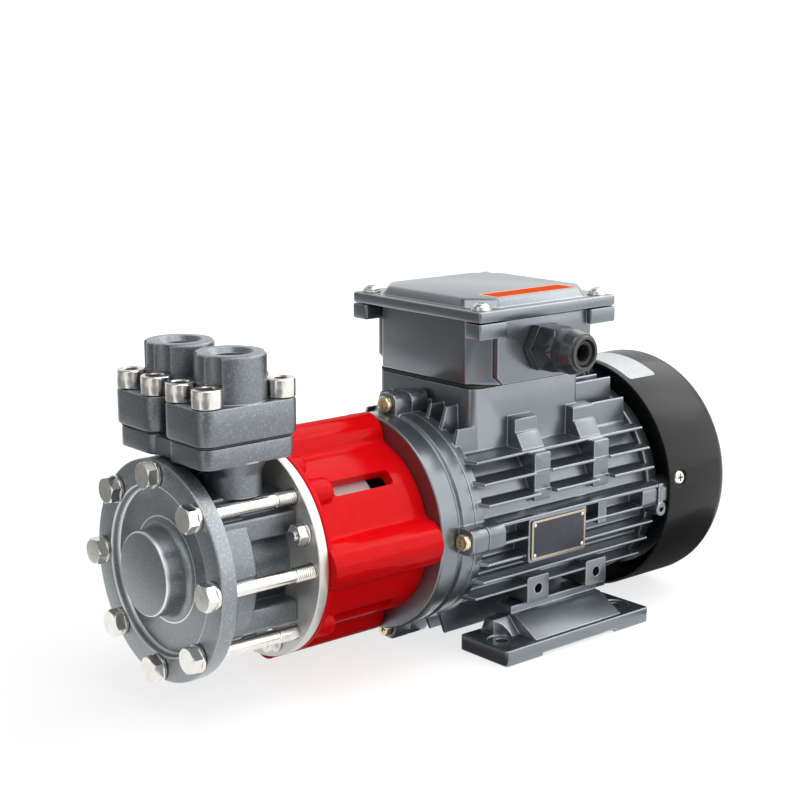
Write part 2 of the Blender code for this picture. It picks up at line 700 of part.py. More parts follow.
def port_flange(name, middle, material):
    """Port plate with a fluted, threaded boss standing between its four screws."""
    plate = bmesh.new()
    half_length = PORT_PLATE_LENGTH / 2
    half_width = PORT_PLATE_WIDTH / 2
    add_block(
        plate, (PORT_X - half_length, middle - half_width, PORT_PLATE_BOTTOM),
        (PORT_X + half_length, middle + half_width, PORT_PLATE_TOP), PORT_PLATE_CORNER)
    flange = solid(name, plate, material)
    boss = bmesh.new()
    chamfer = 0.0012
    add_bar(boss, PORT_BOSS_RADIUS, PORT_PLATE_TOP - 0.004, PORT_TOP, "Z", (PORT_X, middle, 0), LARGE)
    rim = [edge for edge in boss.edges if min(vert.co.z for vert in edge.verts) > PORT_TOP - 0.0001]
    bmesh.ops.bevel(boss, geom=rim, offset=chamfer, segments=1, profile=0.5, affect="EDGES")
    boss_tool = tool(f"{name}_boss", boss)
    flutes = bmesh.new()
    for x, y in port_screw_places(middle):
        add_bar(flutes, FLUTE_RADIUS, PORT_PLATE_TOP - 0.006, PORT_TOP + 0.002, "Z", (x, y, 0), MEDIUM)
    cut(boss_tool, tool(f"{name}_flutes", flutes))
    join(flange, boss_tool)
    bore = turned(f"{name}_bore", [
        (PORT_PLATE_BOTTOM - 0.001, 0), (PORT_PLATE_BOTTOM - 0.001, PORT_BORE_RADIUS),
        (PORT_TOP - PORT_THREAD_DEPTH, PORT_BORE_RADIUS), (PORT_TOP - PORT_THREAD_DEPTH, PORT_THREAD_RADIUS),
        (PORT_TOP - 0.0022, PORT_THREAD_RADIUS), (PORT_TOP, PORT_MOUTH_RADIUS), (PORT_TOP + 0.001, PORT_MOUTH_RADIUS),
        (PORT_TOP + 0.001, 0)], None, MEDIUM, axis="Z", location=(PORT_X, middle, 0))
    cut(flange, bore)
    holes = bmesh.new()
    for x, y in port_screw_places(middle):
        add_bar(holes, PORT_SCREW_RADIUS + HOLE_PLAY, PORT_PLATE_BOTTOM - 0.001, PORT_PLATE_TOP + 0.001, "Z", (x, y, 0))
    cut(flange, tool(f"{name}_holes", holes))


def port_gasket(name, middle, material):
    sheet = bmesh.new()
    inset = PORT_BASE_INSET
    bottom = PORT_BASE_TOP + SEAT
    half_length = PORT_PLATE_LENGTH / 2 - inset
    half_width = PORT_PLATE_WIDTH / 2 - inset
    add_block(
        sheet, (PORT_X - half_length, middle - half_width, bottom),
        (PORT_X + half_length, middle + half_width, bottom + PORT_GASKET_THICKNESS), PORT_PLATE_CORNER)
    gasket = solid(name, sheet, material)
    holes = bmesh.new()
    for x, y in port_screw_places(middle):
        add_bar(holes, PORT_SCREW_RADIUS + HOLE_PLAY, bottom - 0.001, bottom + 0.002, "Z", (x, y, 0))
    add_bar(holes, PORT_BORE_RADIUS + HOLE_PLAY, bottom - 0.001, bottom + 0.002, "Z", (PORT_X, middle, 0))
    cut(gasket, tool(f"{name}_holes", holes))


def port_screws(material):
    """Socket head cap screws that hold the port flanges down."""
    grip = PORT_PLATE_THICKNESS + PORT_GASKET_THICKNESS + 2 * SEAT + PORT_SCREW_GRIP
    outline = [
        (-grip, 0), (-grip, PORT_SCREW_RADIUS), (SEAT, PORT_SCREW_RADIUS), (SEAT, CAP_HEAD_RADIUS),
        (CAP_HEAD_HEIGHT - 0.0006, CAP_HEAD_RADIUS), (CAP_HEAD_HEIGHT, CAP_HEAD_RADIUS - 0.0006), (CAP_HEAD_HEIGHT, 0),
    ]
    screw = turned("port_screw_form", outline, material, CAP_SEGMENTS, axis="Z")
    socket = bmesh.new()
    add_bar(socket, CAP_SOCKET_RADIUS, CAP_HEAD_HEIGHT - CAP_SOCKET_DEPTH, CAP_HEAD_HEIGHT + 0.001, "Z", segments=6)
    cut(screw, tool("port_screw_socket", socket))
    mesh = frozen_mesh(screw, "port_screw")
    places = [place for side in (-1, 1) for place in port_screw_places(side * PORT_SPACING / 2)]
    for number, (x, y) in enumerate(places, 1):
        obj = bpy.data.objects.new(f"port_screw_{number}", mesh)
        obj.parent = UNIT
        obj.location = (x, y, PORT_PLATE_TOP)
        PARTS.objects.link(obj)


def impeller(material):
    """Peripheral impeller: a disc with a row of open pockets round both faces of its rim."""
    middle = CASING_FRONT + SEAT + CHAMBER_DEPTH / 2
    half = IMPELLER_THICKNESS / 2
    bore = PUMP_SHAFT_RADIUS + SEAT
    front = middle - half
    rear = middle + half
    outline = [
        (front, bore), (front, IMPELLER_HUB_RADIUS), (front + 0.0015, IMPELLER_HUB_RADIUS + 0.001),
        (front + 0.0015, VANE_ROOT_RADIUS - 0.003), (front, VANE_ROOT_RADIUS - 0.002), (front, IMPELLER_RADIUS),
        (rear, IMPELLER_RADIUS), (rear, bore),
    ]
    wheel = turned("impeller", outline, material, LARGE, IMPELLER_AXIS)
    for label, low, high in (("front", front - 0.001, front + VANE_POCKET_DEPTH), ("rear", rear - VANE_POCKET_DEPTH, rear + 0.001)):
        pockets = bmesh.new()
        for angle in ring_angles(VANE_COUNT):
            verts = add_block(
                pockets, (low, -IMPELLER_RADIUS - 0.001, -VANE_POCKET_WIDTH / 2), (high, -VANE_ROOT_RADIUS, VANE_POCKET_WIDTH / 2))
            bmesh.ops.rotate(pockets, verts=verts, cent=(0, 0, 0), matrix=Matrix.Rotation(-angle, 3, "X"))
        cut(wheel, tool(f"vane_pockets_{label}", pockets))


def pump_shaft_and_bushes(shaft_material, bush_material):
    pocket_end = CASING_FRONT - FRONT_BUSH_LENGTH - 2 * SEAT
    front = pocket_end + SEAT
    rear = -INNER_MAGNET_REAR + 0.0015
    turned("pump_shaft", [
        (front, 0), (front, PUMP_SHAFT_RADIUS - 0.0006), (front + 0.0006, PUMP_SHAFT_RADIUS),
        (rear - 0.0006, PUMP_SHAFT_RADIUS), (rear, PUMP_SHAFT_RADIUS - 0.0006), (rear, 0)], shaft_material, MEDIUM, IMPELLER_AXIS)
    for name, start, length, radius in (
            ("front_bush", pocket_end + SEAT, FRONT_BUSH_LENGTH, FRONT_BUSH_RADIUS),
            ("rear_bush", CHAMBER_REAR, REAR_BUSH_LENGTH, REAR_BUSH_RADIUS)):
        bore = PUMP_SHAFT_RADIUS + SEAT
        turned(name, [(start, bore), (start, radius), (start + length, radius), (start + length, bore)], bush_material, MEDIUM)


def magnetic_coupling(magnet_material, can_material, carrier_material):
    """Inner magnets on the pump shaft, the sealed can over them, and the outer magnets on the motor shaft."""
    turned("inner_magnet_rotor", [
        (-INNER_MAGNET_FRONT, PUMP_SHAFT_RADIUS + SEAT), (-INNER_MAGNET_FRONT, INNER_MAGNET_RADIUS),
        (-INNER_MAGNET_REAR, INNER_MAGNET_RADIUS), (-INNER_MAGNET_REAR, PUMP_SHAFT_RADIUS + SEAT)],
        magnet_material, MEDIUM, IMPELLER_AXIS)
    can_front = RING_FRONT + SEAT
    inside = CAN_RADIUS - CAN_WALL
    turned("isolation_can", [
        (-CAN_END - CAN_WALL, 0), (-CAN_END - CAN_WALL, inside), (can_front, inside), (can_front, CAN_FLANGE_RADIUS),
        (can_front + CAN_FLANGE_THICKNESS, CAN_FLANGE_RADIUS), (can_front + CAN_FLANGE_THICKNESS, CAN_RADIUS),
        (-CAN_END - 0.001, CAN_RADIUS), (-CAN_END, CAN_RADIUS - 0.001), (-CAN_END, 0)], can_material, MEDIUM)
    bore = SHAFT_END_RADIUS + SEAT
    cup_floor = -SHAFT_EXTENSION - 0.001
    turned("outer_magnet_rotor", [
        (-OUTER_MAGNET_FRONT, OUTER_MAGNET_BORE), (-OUTER_MAGNET_FRONT, OUTER_MAGNET_RADIUS),
        (-OUTER_MAGNET_REAR, OUTER_MAGNET_RADIUS), (-OUTER_MAGNET_REAR, OUTER_MAGNET_HUB_RADIUS + 0.001),
        (-OUTER_MAGNET_HUB_END, OUTER_MAGNET_HUB_RADIUS), (-OUTER_MAGNET_HUB_END, bore), (cup_floor, bore),
        (cup_floor, OUTER_MAGNET_BORE)], carrier_material, LARGE, MOTOR_AXIS)


def adapter_ring(material):
    """Machined ring between the casing and the lantern, with the can's flange let into its front."""
    front = RING_FRONT + SEAT
    recess = front + CAN_FLANGE_THICKNESS + SEAT
    ring = turned("adapter_ring", [
        (front, CAN_FLANGE_RADIUS + SEAT), (front, FLANGE_RADIUS - 0.0005), (front + 0.0005, FLANGE_RADIUS),
        (RING_REAR - 0.0005, FLANGE_RADIUS), (RING_REAR, FLANGE_RADIUS - 0.0005), (RING_REAR, CAN_RADIUS + 0.0004),
        (recess, CAN_RADIUS + 0.0004), (recess, CAN_FLANGE_RADIUS + SEAT)], material)
    holes = bmesh.new()
    for angle in ring_angles(TIE_COUNT):
        add_bar(holes, TIE_SHANK_RADIUS + HOLE_PLAY, front - 0.001, RING_REAR + 0.001, centre=around(TIE_CIRCLE, angle))
    for angle in ring_angles(NUT_COUNT, NUT_PHASE):
        add_bar(holes, STUD_RADIUS + SEAT, front - 0.001, RING_REAR + 0.001, centre=around(NUT_CIRCLE, angle), segments=8)
    cut(ring, tool("ring_holes", holes))


def ring_nuts(material):
    """Nut, washer and stud that hold the adapter ring to the lantern."""
    front = RING_FRONT + SEAT
    washer = -NUT_WASHER_THICKNESS
    nut = washer - NUT_HEIGHT
    end = RING_THICKNESS + STUD_GRIP
    outline = [
        (washer, 0), (washer, NUT_WASHER_RADIUS), (-SEAT, NUT_WASHER_RADIUS), (-SEAT, STUD_RADIUS), (end, STUD_RADIUS),
        (end, 0),
    ]
    form = turned("ring_nut_form", outline, material, SMALL)
    hexagon = bmesh.new()
    add_bar(hexagon, NUT_CORNER_RADIUS, nut, washer + 0.0003, segments=6)
    join(form, tool("ring_nut_hexagon", hexagon))
    mesh = frozen_mesh(form, "ring_nut")
    for number, angle in enumerate(ring_angles(NUT_COUNT, NUT_PHASE), 1):
        obj = bpy.data.objects.new(f"ring_nut_{number}", mesh)
        obj.parent = UNIT
        obj.location = Vector((front, 0, 0)) + Vector(around(NUT_CIRCLE, angle))
        obj.rotation_euler = (0, math.pi / 2, 0)
        PARTS.objects.link(obj)


def add_domed_boss(bm, radius, circle, angle, end, rounding, segments=12):
    """Round boss along the shaft, from inside the lantern's rim to a rounded end."""
    verts = add_bar(bm, radius, RING_REAR + 0.0008, end, centre=around(circle, angle), segments=segments)
    rim = {edge for vert in verts for edge in vert.link_edges if min(v.co.x for v in edge.verts) > end - 0.0001}
    bmesh.ops.bevel(bm, geom=list(rim), offset=rounding, segments=2, profile=0.5, affect="EDGES")


def lantern(material):
    """Cast bracket between pump and motor: rim, barrel, four bolt tunnels, rim bosses and windows."""
    front = RING_REAR + SEAT
    rim = front + RIM_THICKNESS
    body = turned("lantern", [
        (front, 0), (front, FLANGE_RADIUS), (rim - 0.0005, FLANGE_RADIUS), (rim, FLANGE_RADIUS - 0.0005),
        (rim + 0.0005, LANTERN_RADIUS + 0.001), (rim + 0.002, LANTERN_RADIUS), (0, LANTERN_RADIUS), (0, 0)], material)
    tunnels = bmesh.new()
    for angle in ring_angles(TUNNEL_COUNT):
        add_domed_boss(tunnels, TUNNEL_RADIUS, TUNNEL_CIRCLE, angle, -0.0006, TUNNEL_ROUNDING, MEDIUM)
    join(body, tool("lantern_tunnels", tunnels))
    bosses = bmesh.new()
    for angle in ring_angles(TUNNEL_COUNT, math.pi / TUNNEL_COUNT):
        add_domed_boss(bosses, RIM_BOSS_RADIUS, TUNNEL_CIRCLE, angle, RING_REAR + RIM_BOSS_LENGTH, BOSS_ROUNDING)
    for angle in (SMALL_BOSS_ANGLE, math.pi - SMALL_BOSS_ANGLE):
        add_domed_boss(bosses, SMALL_BOSS_RADIUS, TUNNEL_CIRCLE, angle, RING_REAR + SMALL_BOSS_LENGTH, BOSS_ROUNDING)
    join(body, tool("lantern_rim_bosses", bosses))
    holes = bmesh.new()
    for angle in ring_angles(NUT_COUNT, NUT_PHASE):
        add_bar(holes, STUD_RADIUS + SEAT, front - 0.001, front + STUD_GRIP + 0.001, centre=around(NUT_CIRCLE, angle), segments=8)
    cut(body, tool("lantern_stud_holes", holes))
    bore = turned("lantern_bore", [
        (front - 0.001, 0), (front - 0.001, LANTERN_BORE), (-LANTERN_FLOOR, LANTERN_BORE),
        (-LANTERN_FLOOR, SPIGOT_RADIUS + SEAT), (0.001, SPIGOT_RADIUS + SEAT), (0.001, 0)], None)
    cut(body, bore)
    windows = bmesh.new()
    for angle in ring_angles(TUNNEL_COUNT, math.pi / TUNNEL_COUNT):
        before = set(windows.verts)
        add_block(
            windows, (-WINDOW_FRONT, -FLANGE_RADIUS - 0.005, -WINDOW_HEIGHT / 2),
            (-WINDOW_REAR, -LANTERN_BORE + 0.008, WINDOW_HEIGHT / 2), WINDOW_CORNER, "Y", 2)
        fresh = [vert for vert in windows.verts if vert not in before]
        bmesh.ops.rotate(windows, verts=fresh, cent=(0, 0, 0), matrix=Matrix.Rotation(-angle, 3, "X"))
    cut(body, tool("lantern_windows", windows))


def add_lugs(bm, start, end, angles, reach=LUG_REACH, root=LUG_ROOT, width=LUG_WIDTH, rounding=0.004):
    for angle in angles:
        before = set(bm.verts)
        add_block(bm, (start, -width / 2, root), (end, width / 2, reach))
        fresh = [vert for vert in bm.verts if vert not in before]
        edges = {edge for vert in fresh for edge in vert.link_edges if min(v.co.z for v in edge.verts) > reach - 0.0001}
        along = [edge for edge in edges if abs(edge.verts[0].co.x - edge.verts[1].co.x) > 0.001]
        bmesh.ops.bevel(bm, geom=along, offset=rounding, segments=2, profile=0.5, affect="EDGES")
        fresh = [vert for vert in bm.verts if vert not in before]
        bmesh.ops.rotate(bm, verts=fresh, cent=(0, 0, 0), matrix=Matrix.Rotation(math.pi / 2 - angle, 3, "X"))


def front_endshield(material):
    """Drive end shield with its centring spigot, bearing hub and four screw lugs."""
    face = SEAT
    pocket = BEARING_RADIUS + SEAT
    bearing_rear = BEARING_SETBACK + BEARING_WIDTH
    shield = turned("front_endshield", [
        (face - SPIGOT_HEIGHT, SHAFT_BEARING_RADIUS + 0.0007), (face - SPIGOT_HEIGHT, SPIGOT_RADIUS), (face, SPIGOT_RADIUS),
        (face, SHIELD_RADIUS - 0.0006), (face + 0.0006, SHIELD_RADIUS), (COLLAR_LENGTH, SHIELD_RADIUS - 0.0008),
        (COLLAR_LENGTH + 0.0015, SHIELD_GROOVE_RADIUS), (COLLAR_LENGTH + 0.003, SHIELD_RIM_RADIUS - 0.0002),
        (SEAM, SHIELD_RIM_RADIUS), (SEAM, HOUSING_BORE - SEAT), (SEAM + 0.003, HOUSING_BORE - SEAT),
        (BEARING_SETBACK, SHIELD_DISH_RADIUS), (BEARING_SETBACK, BEARING_HUB_RADIUS), (bearing_rear, BEARING_HUB_RADIUS),
        (bearing_rear, pocket),
        (BEARING_SETBACK - SEAT, pocket), (BEARING_SETBACK - SEAT, SHAFT_BEARING_RADIUS + 0.0007)], material)
    lugs = bmesh.new()
    add_lugs(lugs, LUG_FRONT, SEAM - 0.0001, ring_angles(LUG_COUNT), root=HOUSING_BORE)
    join(shield, tool("shield_lugs", lugs))
    holes = bmesh.new()
    for angle in ring_angles(LUG_COUNT):
        add_bar(
            holes, SHIELD_SCREW_RADIUS + HOLE_PLAY, LUG_FRONT - 0.001, SEAM + 0.001,
            centre=around(SHIELD_SCREW_CIRCLE, angle), segments=8)
    cut(shield, tool("shield_holes", holes))


def endshield_screws(material):
    """Pan head screws through the shield's lugs into the housing."""
    end = SEAM - LUG_FRONT + SHIELD_SCREW_GRIP
    outline = [
        (-PAN_HEAD_HEIGHT, 0), (-PAN_HEAD_HEIGHT, PAN_HEAD_RADIUS - 0.0012), (-PAN_HEAD_HEIGHT + 0.0012, PAN_HEAD_RADIUS),
        (-SEAT, PAN_HEAD_RADIUS), (-SEAT, SHIELD_SCREW_RADIUS), (end, SHIELD_SCREW_RADIUS), (end, 0),
    ]
    mesh = frozen_mesh(turned("endshield_screw_form", outline, material, SMALL), "endshield_screw")
    for number, angle in enumerate(ring_angles(LUG_COUNT), 1):
        obj = bpy.data.objects.new(f"endshield_screw_{number}", mesh)
        obj.parent = UNIT
        obj.location = Vector((LUG_FRONT, 0, 0)) + Vector(around(SHIELD_SCREW_CIRCLE, angle))
        obj.rotation_euler = (0, math.pi / 2, 0)
        PARTS.objects.link(obj)


def fin_tip(offset, flat):
    """How far a fin reaches from the shaft plane: to the round outline, or to the flat one."""
    round_reach = math.sqrt(FIN_RADIUS ** 2 - offset ** 2)
    return FIN_FLAT if flat and abs(offset) < FIN_PITCH * 3 else round_reach


def fin_section():
    """Cross-section of the finned housing: a circle with level fins at the sides, upright ones above and below."""
    half = FIN_THICKNESS / 2
    root = HOUSING_ROOT_RADIUS
    points = []
    offsets = [FIN_PITCH * (step + 0.5) for step in (-4, -3, -2, -1, 0, 1, 2, 3)]
    for quarter in range(4):
        flat = quarter in (1, 3)
        for offset in offsets:
            if quarter == 3 and abs(offset) > FIN_PITCH * 3:
                continue
            tip = fin_tip(offset, flat)
            foot_low = math.sqrt(root ** 2 - (offset - half) ** 2)
            foot_high = math.sqrt(root ** 2 - (offset + half) ** 2)
            fin = [(foot_low, offset - half), (tip, offset - half), (tip, offset + half), (foot_high, offset + half)]
            turn = math.pi / 2 * quarter
            points.extend(
                (u * math.cos(turn) - v * math.sin(turn), u * math.sin(turn) + v * math.cos(turn)) for u, v in fin)
    return points


def motor_housing(material):
    """Finned stator housing with its pedestal, lugs, strong side ribs and pads."""
    front = HOUSING_FRONT
    rear = HOUSING_REAR
    housing = solid("motor_housing", extrusion(fin_section(), front + HOUSING_BAND_LENGTH - 0.005, rear), material)
    nose = turned("fin_nose", [
        (front - 0.010, 0), (front - 0.010, 0.1), (rear + 0.01, 0.1), (rear + 0.01, 0.075),
        (front + 0.0015 + FIN_TIP_LENGTH, 0.075), (front + 0.0015, HOUSING_ROOT_RADIUS - 0.001),
        (front + 0.0015, 0)], None, LARGE)
    cut(housing, nose)
    band = turned("housing_band", [
        (front, 0), (front, SHIELD_RIM_RADIUS), (front + HOUSING_BAND_LENGTH, SHIELD_RIM_RADIUS),
        (front + HOUSING_BAND_LENGTH, 0)], None, LARGE)
    join(housing, band)
    pedestal = bmesh.new()
    half = PEDESTAL_WIDTH / 2
    add_block(
        pedestal, (PEDESTAL_FRONT, -half, 0.030), (PEDESTAL_FRONT + PEDESTAL_LENGTH, half, PEDESTAL_TOP), PEDESTAL_CORNER)
    join(housing, tool("pedestal", pedestal))
    lugs = bmesh.new()
    add_lugs(lugs, front + 0.0001, front + LUG_REAR, ring_angles(LUG_COUNT))
    add_lugs(lugs, rear - LUG_REAR, rear - 0.0001, ring_angles(LUG_COUNT), reach=COWL_RADIUS - 0.003)
    join(housing, tool("housing_lugs", lugs))
    cut(housing, upper_pad_clearance())
    join(housing, side_pads())
    join(housing, nameplate_pad_and_ribs())
    for side in (-1, 1):
        join(housing, pedestal_shoulders(side))
    cut_housing_bores(housing)


def pad_starts():
    return SIDE_PAD_FRONT, SIDE_PAD_FRONT + SIDE_PAD_PITCH


def upper_pad_clearance():
    """Space in front of the upper pads, where the fins stop."""
    gaps = bmesh.new()
    for side in (-1, 1):
        low_y, high_y = sorted((side * UPPER_PAD_REACH, side * (FIN_RADIUS + 0.005)))
        for x in pad_starts():
            add_block(gaps, (x, low_y, UPPER_PAD_LOW), (x + UPPER_PAD_LENGTH, high_y, UPPER_PAD_HIGH))
    return tool("upper_pad_clearance", gaps)


def side_pads():
    """Upper and lower pads on both sides, which carry the feet in either mounting."""
    pads = bmesh.new()
    for side in (-1, 1):
        for x in pad_starts():
            low_y, high_y = sorted((side * SIDE_PAD_REACH, side * 0.034))
            add_block(pads, (x, low_y, -SIDE_PAD_HIGH), (x + SIDE_PAD_LENGTH, high_y, -SIDE_PAD_LOW))
            low_y, high_y = sorted((side * (UPPER_PAD_REACH - 0.0002), side * 0.0405))
            add_block(
                pads, (x + 0.0003, low_y, UPPER_PAD_LOW + 0.0003),
                (x + UPPER_PAD_LENGTH - 0.0003, high_y, UPPER_PAD_HIGH - 0.0003))
    return tool("side_pads", pads)


def nameplate_pad_and_ribs():
    """Flat pad behind the nameplate, and the strong ribs that run between the side lugs."""
    pads = bmesh.new()
    half = NAMEPLATE_HEIGHT / 2 + 0.0015
    face = NAMEPLATE_REACH - NAMEPLATE_THICKNESS - SEAT
    add_block(
        pads, (NAMEPLATE_FRONT - 0.0015, -face, NAMEPLATE_MIDDLE - half),
        (NAMEPLATE_FRONT + NAMEPLATE_LENGTH + 0.0015, -HOUSING_BORE - 0.001, NAMEPLATE_MIDDLE + half))
    for side in (-1, 1):
        low_y, high_y = sorted((side * SIDE_RIB_TIP, side * (HOUSING_BORE + 0.001)))
        add_block(
            pads, (HOUSING_FRONT + LUG_REAR - 0.001, low_y, SIDE_RIB_EDGE - SIDE_RIB_THICKNESS),
            (HOUSING_REAR - 0.0005, high_y, SIDE_RIB_EDGE))
    return tool("nameplate_pad_and_ribs", pads)


def pedestal_shoulders(side):
    """Machined shoulders on the sides of the pedestal, with a sloped root down to the top side fin."""
    reach = PEDESTAL_WIDTH / 2 + SHOULDER_PROUD
    spread = SHOULDER_LEDGE - SHOULDER_FOOT
    outline = [
        (PEDESTAL_WIDTH / 2 - 0.002, SHOULDER_TOP), (reach, SHOULDER_TOP - SHOULDER_STEP), (reach, SHOULDER_LEDGE),
        (reach + SHOULDER_STEP, SHOULDER_LEDGE), (reach + SHOULDER_STEP + spread * 0.6, SHOULDER_FOOT),
        (PEDESTAL_WIDTH / 2 - 0.002, SHOULDER_FOOT - 0.002)]
    shoulders = bmesh.new()
    for setback in SHOULDER_SETBACKS:
        shape = extrusion(
            [(side * y, z) for y, z in outline], PEDESTAL_FRONT + setback, PEDESTAL_FRONT + setback + SHOULDER_LENGTH)
        mesh = mesh_from(shape, "shoulder")
        shoulders.from_mesh(mesh)
        bpy.data.meshes.remove(mesh)
    return tool(f"pedestal_shoulders_{'near' if side < 0 else 'far'}", shoulders)


def cut_housing_bores(housing):
    bore = bmesh.new()
    add_bar(bore, HOUSING_BORE, HOUSING_FRONT - 0.001, HOUSING_REAR + 0.001, segments=LARGE)
    cut(housing, tool("housing_bore", bore))
    wires = bmesh.new()
    add_bar(wires, WIRE_HOLE_RADIUS, 0.040, PEDESTAL_TOP + 0.001, "Z", (BOX_X, 0, 0), SMALL)
    cut(housing, tool("wire_hole", wires))
    holes = bmesh.new()
    for angle in ring_angles(LUG_COUNT):
        add_bar(
            holes, SHIELD_SCREW_RADIUS + SEAT, HOUSING_FRONT - 0.001, SEAM + SHIELD_SCREW_GRIP + 0.001,
            centre=around(SHIELD_SCREW_CIRCLE, angle), segments=8)
    for side in (-1, 1):
        for x in pad_starts():
            low, high = sorted((side * (SIDE_PAD_REACH - SIDE_PAD_HOLE_DEPTH), side * (SIDE_PAD_REACH + 0.001)))
            add_bar(
                holes, SIDE_PAD_HOLE_RADIUS, low, high, "Y",
                (x + SIDE_PAD_LENGTH / 2, 0, -(SIDE_PAD_LOW + SIDE_PAD_HIGH) / 2), 10)
    cut(housing, tool("housing_tapped_holes", holes))


def motor_internals(core_material, shaft_material, bearing_material):
    """Stator with its winding heads, cage rotor, stepped shaft and the two ball bearings."""
    inner = STATOR_BORE
    winding = inner + 0.003
    outer = winding + WINDING_THICKNESS
    low = STATOR_FRONT - WINDING_OVERHANG
    high = STATOR_REAR + WINDING_OVERHANG
    turned("stator_core", [
        (STATOR_FRONT, inner), (STATOR_FRONT, winding), (low, winding), (low, outer), (STATOR_FRONT, outer),
        (STATOR_FRONT, STATOR_RADIUS), (STATOR_REAR, STATOR_RADIUS), (STATOR_REAR, outer), (high, outer), (high, winding),
        (STATOR_REAR, winding), (STATOR_REAR, inner)], core_material, LARGE)
    bore = SHAFT_BODY_RADIUS + SEAT
    low = STATOR_FRONT - ROTOR_RING_OVERHANG
    high = STATOR_REAR + ROTOR_RING_OVERHANG
    turned("rotor_core", [
        (low, bore), (low, ROTOR_RING_RADIUS), (STATOR_FRONT, ROTOR_RING_RADIUS), (STATOR_FRONT, ROTOR_RADIUS),
        (STATOR_REAR, ROTOR_RADIUS), (STATOR_REAR, ROTOR_RING_RADIUS), (high, ROTOR_RING_RADIUS), (high, bore)],
        core_material, LARGE, MOTOR_AXIS)
    front_rear = BEARING_SETBACK + BEARING_WIDTH
    back_front = REAR_BEARING_REAR - BEARING_WIDTH
    fan_end = FAN_FRONT + FAN_DISC_THICKNESS + FAN_BLADE_WIDTH
    turned("motor_shaft", [
        (-SHAFT_EXTENSION, 0), (-SHAFT_EXTENSION, SHAFT_END_RADIUS - 0.001), (-SHAFT_EXTENSION + 0.001, SHAFT_END_RADIUS),
        (BEARING_SETBACK - 0.001, SHAFT_END_RADIUS), (BEARING_SETBACK - 0.001, SHAFT_BEARING_RADIUS),
        (front_rear + SEAT, SHAFT_BEARING_RADIUS), (front_rear + SEAT, SHAFT_BODY_RADIUS),
        (back_front - SEAT, SHAFT_BODY_RADIUS), (back_front - SEAT, SHAFT_BEARING_RADIUS),
        (REAR_BEARING_REAR + 0.001, SHAFT_BEARING_RADIUS), (REAR_BEARING_REAR + 0.001, SHAFT_FAN_RADIUS),
        (fan_end, SHAFT_FAN_RADIUS), (fan_end, 0)], shaft_material, MEDIUM, MOTOR_AXIS)
    for name, start in (("front_bearing", BEARING_SETBACK), ("rear_bearing", back_front)):
        end = start + BEARING_WIDTH
        bore = SHAFT_BEARING_RADIUS + SEAT
        turned(name, [(start, bore), (start, BEARING_RADIUS), (end, BEARING_RADIUS), (end, bore)], bearing_material, MEDIUM)


def rear_endshield(material):
    """Non-drive end shield with its bearing hub and the lugs that carry the cowl."""
    front = REAR_SHIELD_FRONT
    rear = front + REAR_SHIELD_LENGTH
    spigot = front - 0.003
    pocket = BEARING_RADIUS + SEAT
    hub_end = REAR_BEARING_REAR + SEAT + 0.003
    bearing_front = REAR_BEARING_REAR - BEARING_WIDTH - SEAT
    shield = turned("rear_endshield", [
        (spigot, SHIELD_DISH_RADIUS), (spigot, HOUSING_BORE - SEAT), (front, HOUSING_BORE - SEAT), (front, SHIELD_RIM_RADIUS),
        (rear - 0.002, SHIELD_RIM_RADIUS), (rear, SHIELD_RIM_RADIUS - 0.002), (rear, BEARING_HUB_RADIUS + 0.0025),
        (hub_end, BEARING_HUB_RADIUS),
        (hub_end, SHAFT_BEARING_RADIUS + 0.0007), (REAR_BEARING_REAR + SEAT, SHAFT_BEARING_RADIUS + 0.0007),
        (REAR_BEARING_REAR + SEAT, pocket), (bearing_front, pocket), (bearing_front, BEARING_HUB_RADIUS)], material)
    lugs = bmesh.new()
    add_lugs(
        lugs, COWL_FRONT - 0.004, COWL_FRONT + 2 * COWL_SCREW_SETBACK - 0.003, ring_angles(LUG_COUNT),
        reach=COWL_RADIUS - COWL_WALL - 0.001, root=0.053, rounding=0.003)
    join(shield, tool("rear_shield_lugs", lugs))
    feet = bmesh.new()
    add_lugs(
        feet, front + 0.0005, COWL_FRONT - 0.003, ring_angles(LUG_COUNT), reach=0.062, root=0.052, width=0.012, rounding=0.003)
    join(shield, tool("rear_shield_lug_roots", feet))


def fan(material):
    """Radial fan: hub and back plate with straight blades, so that it works in both directions."""
    front = FAN_FRONT
    plate = front + FAN_DISC_THICKNESS
    end = plate + FAN_BLADE_WIDTH
    bore = SHAFT_FAN_RADIUS + SEAT
    wheel = turned("fan", [
        (front, bore), (front, FAN_RADIUS), (plate, FAN_RADIUS), (plate, FAN_HUB_RADIUS + 0.001),
        (end, FAN_HUB_RADIUS), (end, bore)], material, LARGE, MOTOR_AXIS)
    blades = bmesh.new()
    for angle in ring_angles(FAN_BLADE_COUNT):
        verts = add_block(
            blades, (plate - 0.0005, -FAN_BLADE_THICKNESS / 2, FAN_HUB_RADIUS - 0.001),
            (end - 0.0002, FAN_BLADE_THICKNESS / 2, FAN_RADIUS - 0.0008))
        bmesh.ops.rotate(blades, verts=verts, cent=(0, 0, 0), matrix=Matrix.Rotation(angle, 3, "X"))
    join(wheel, tool("fan_blades", blades))


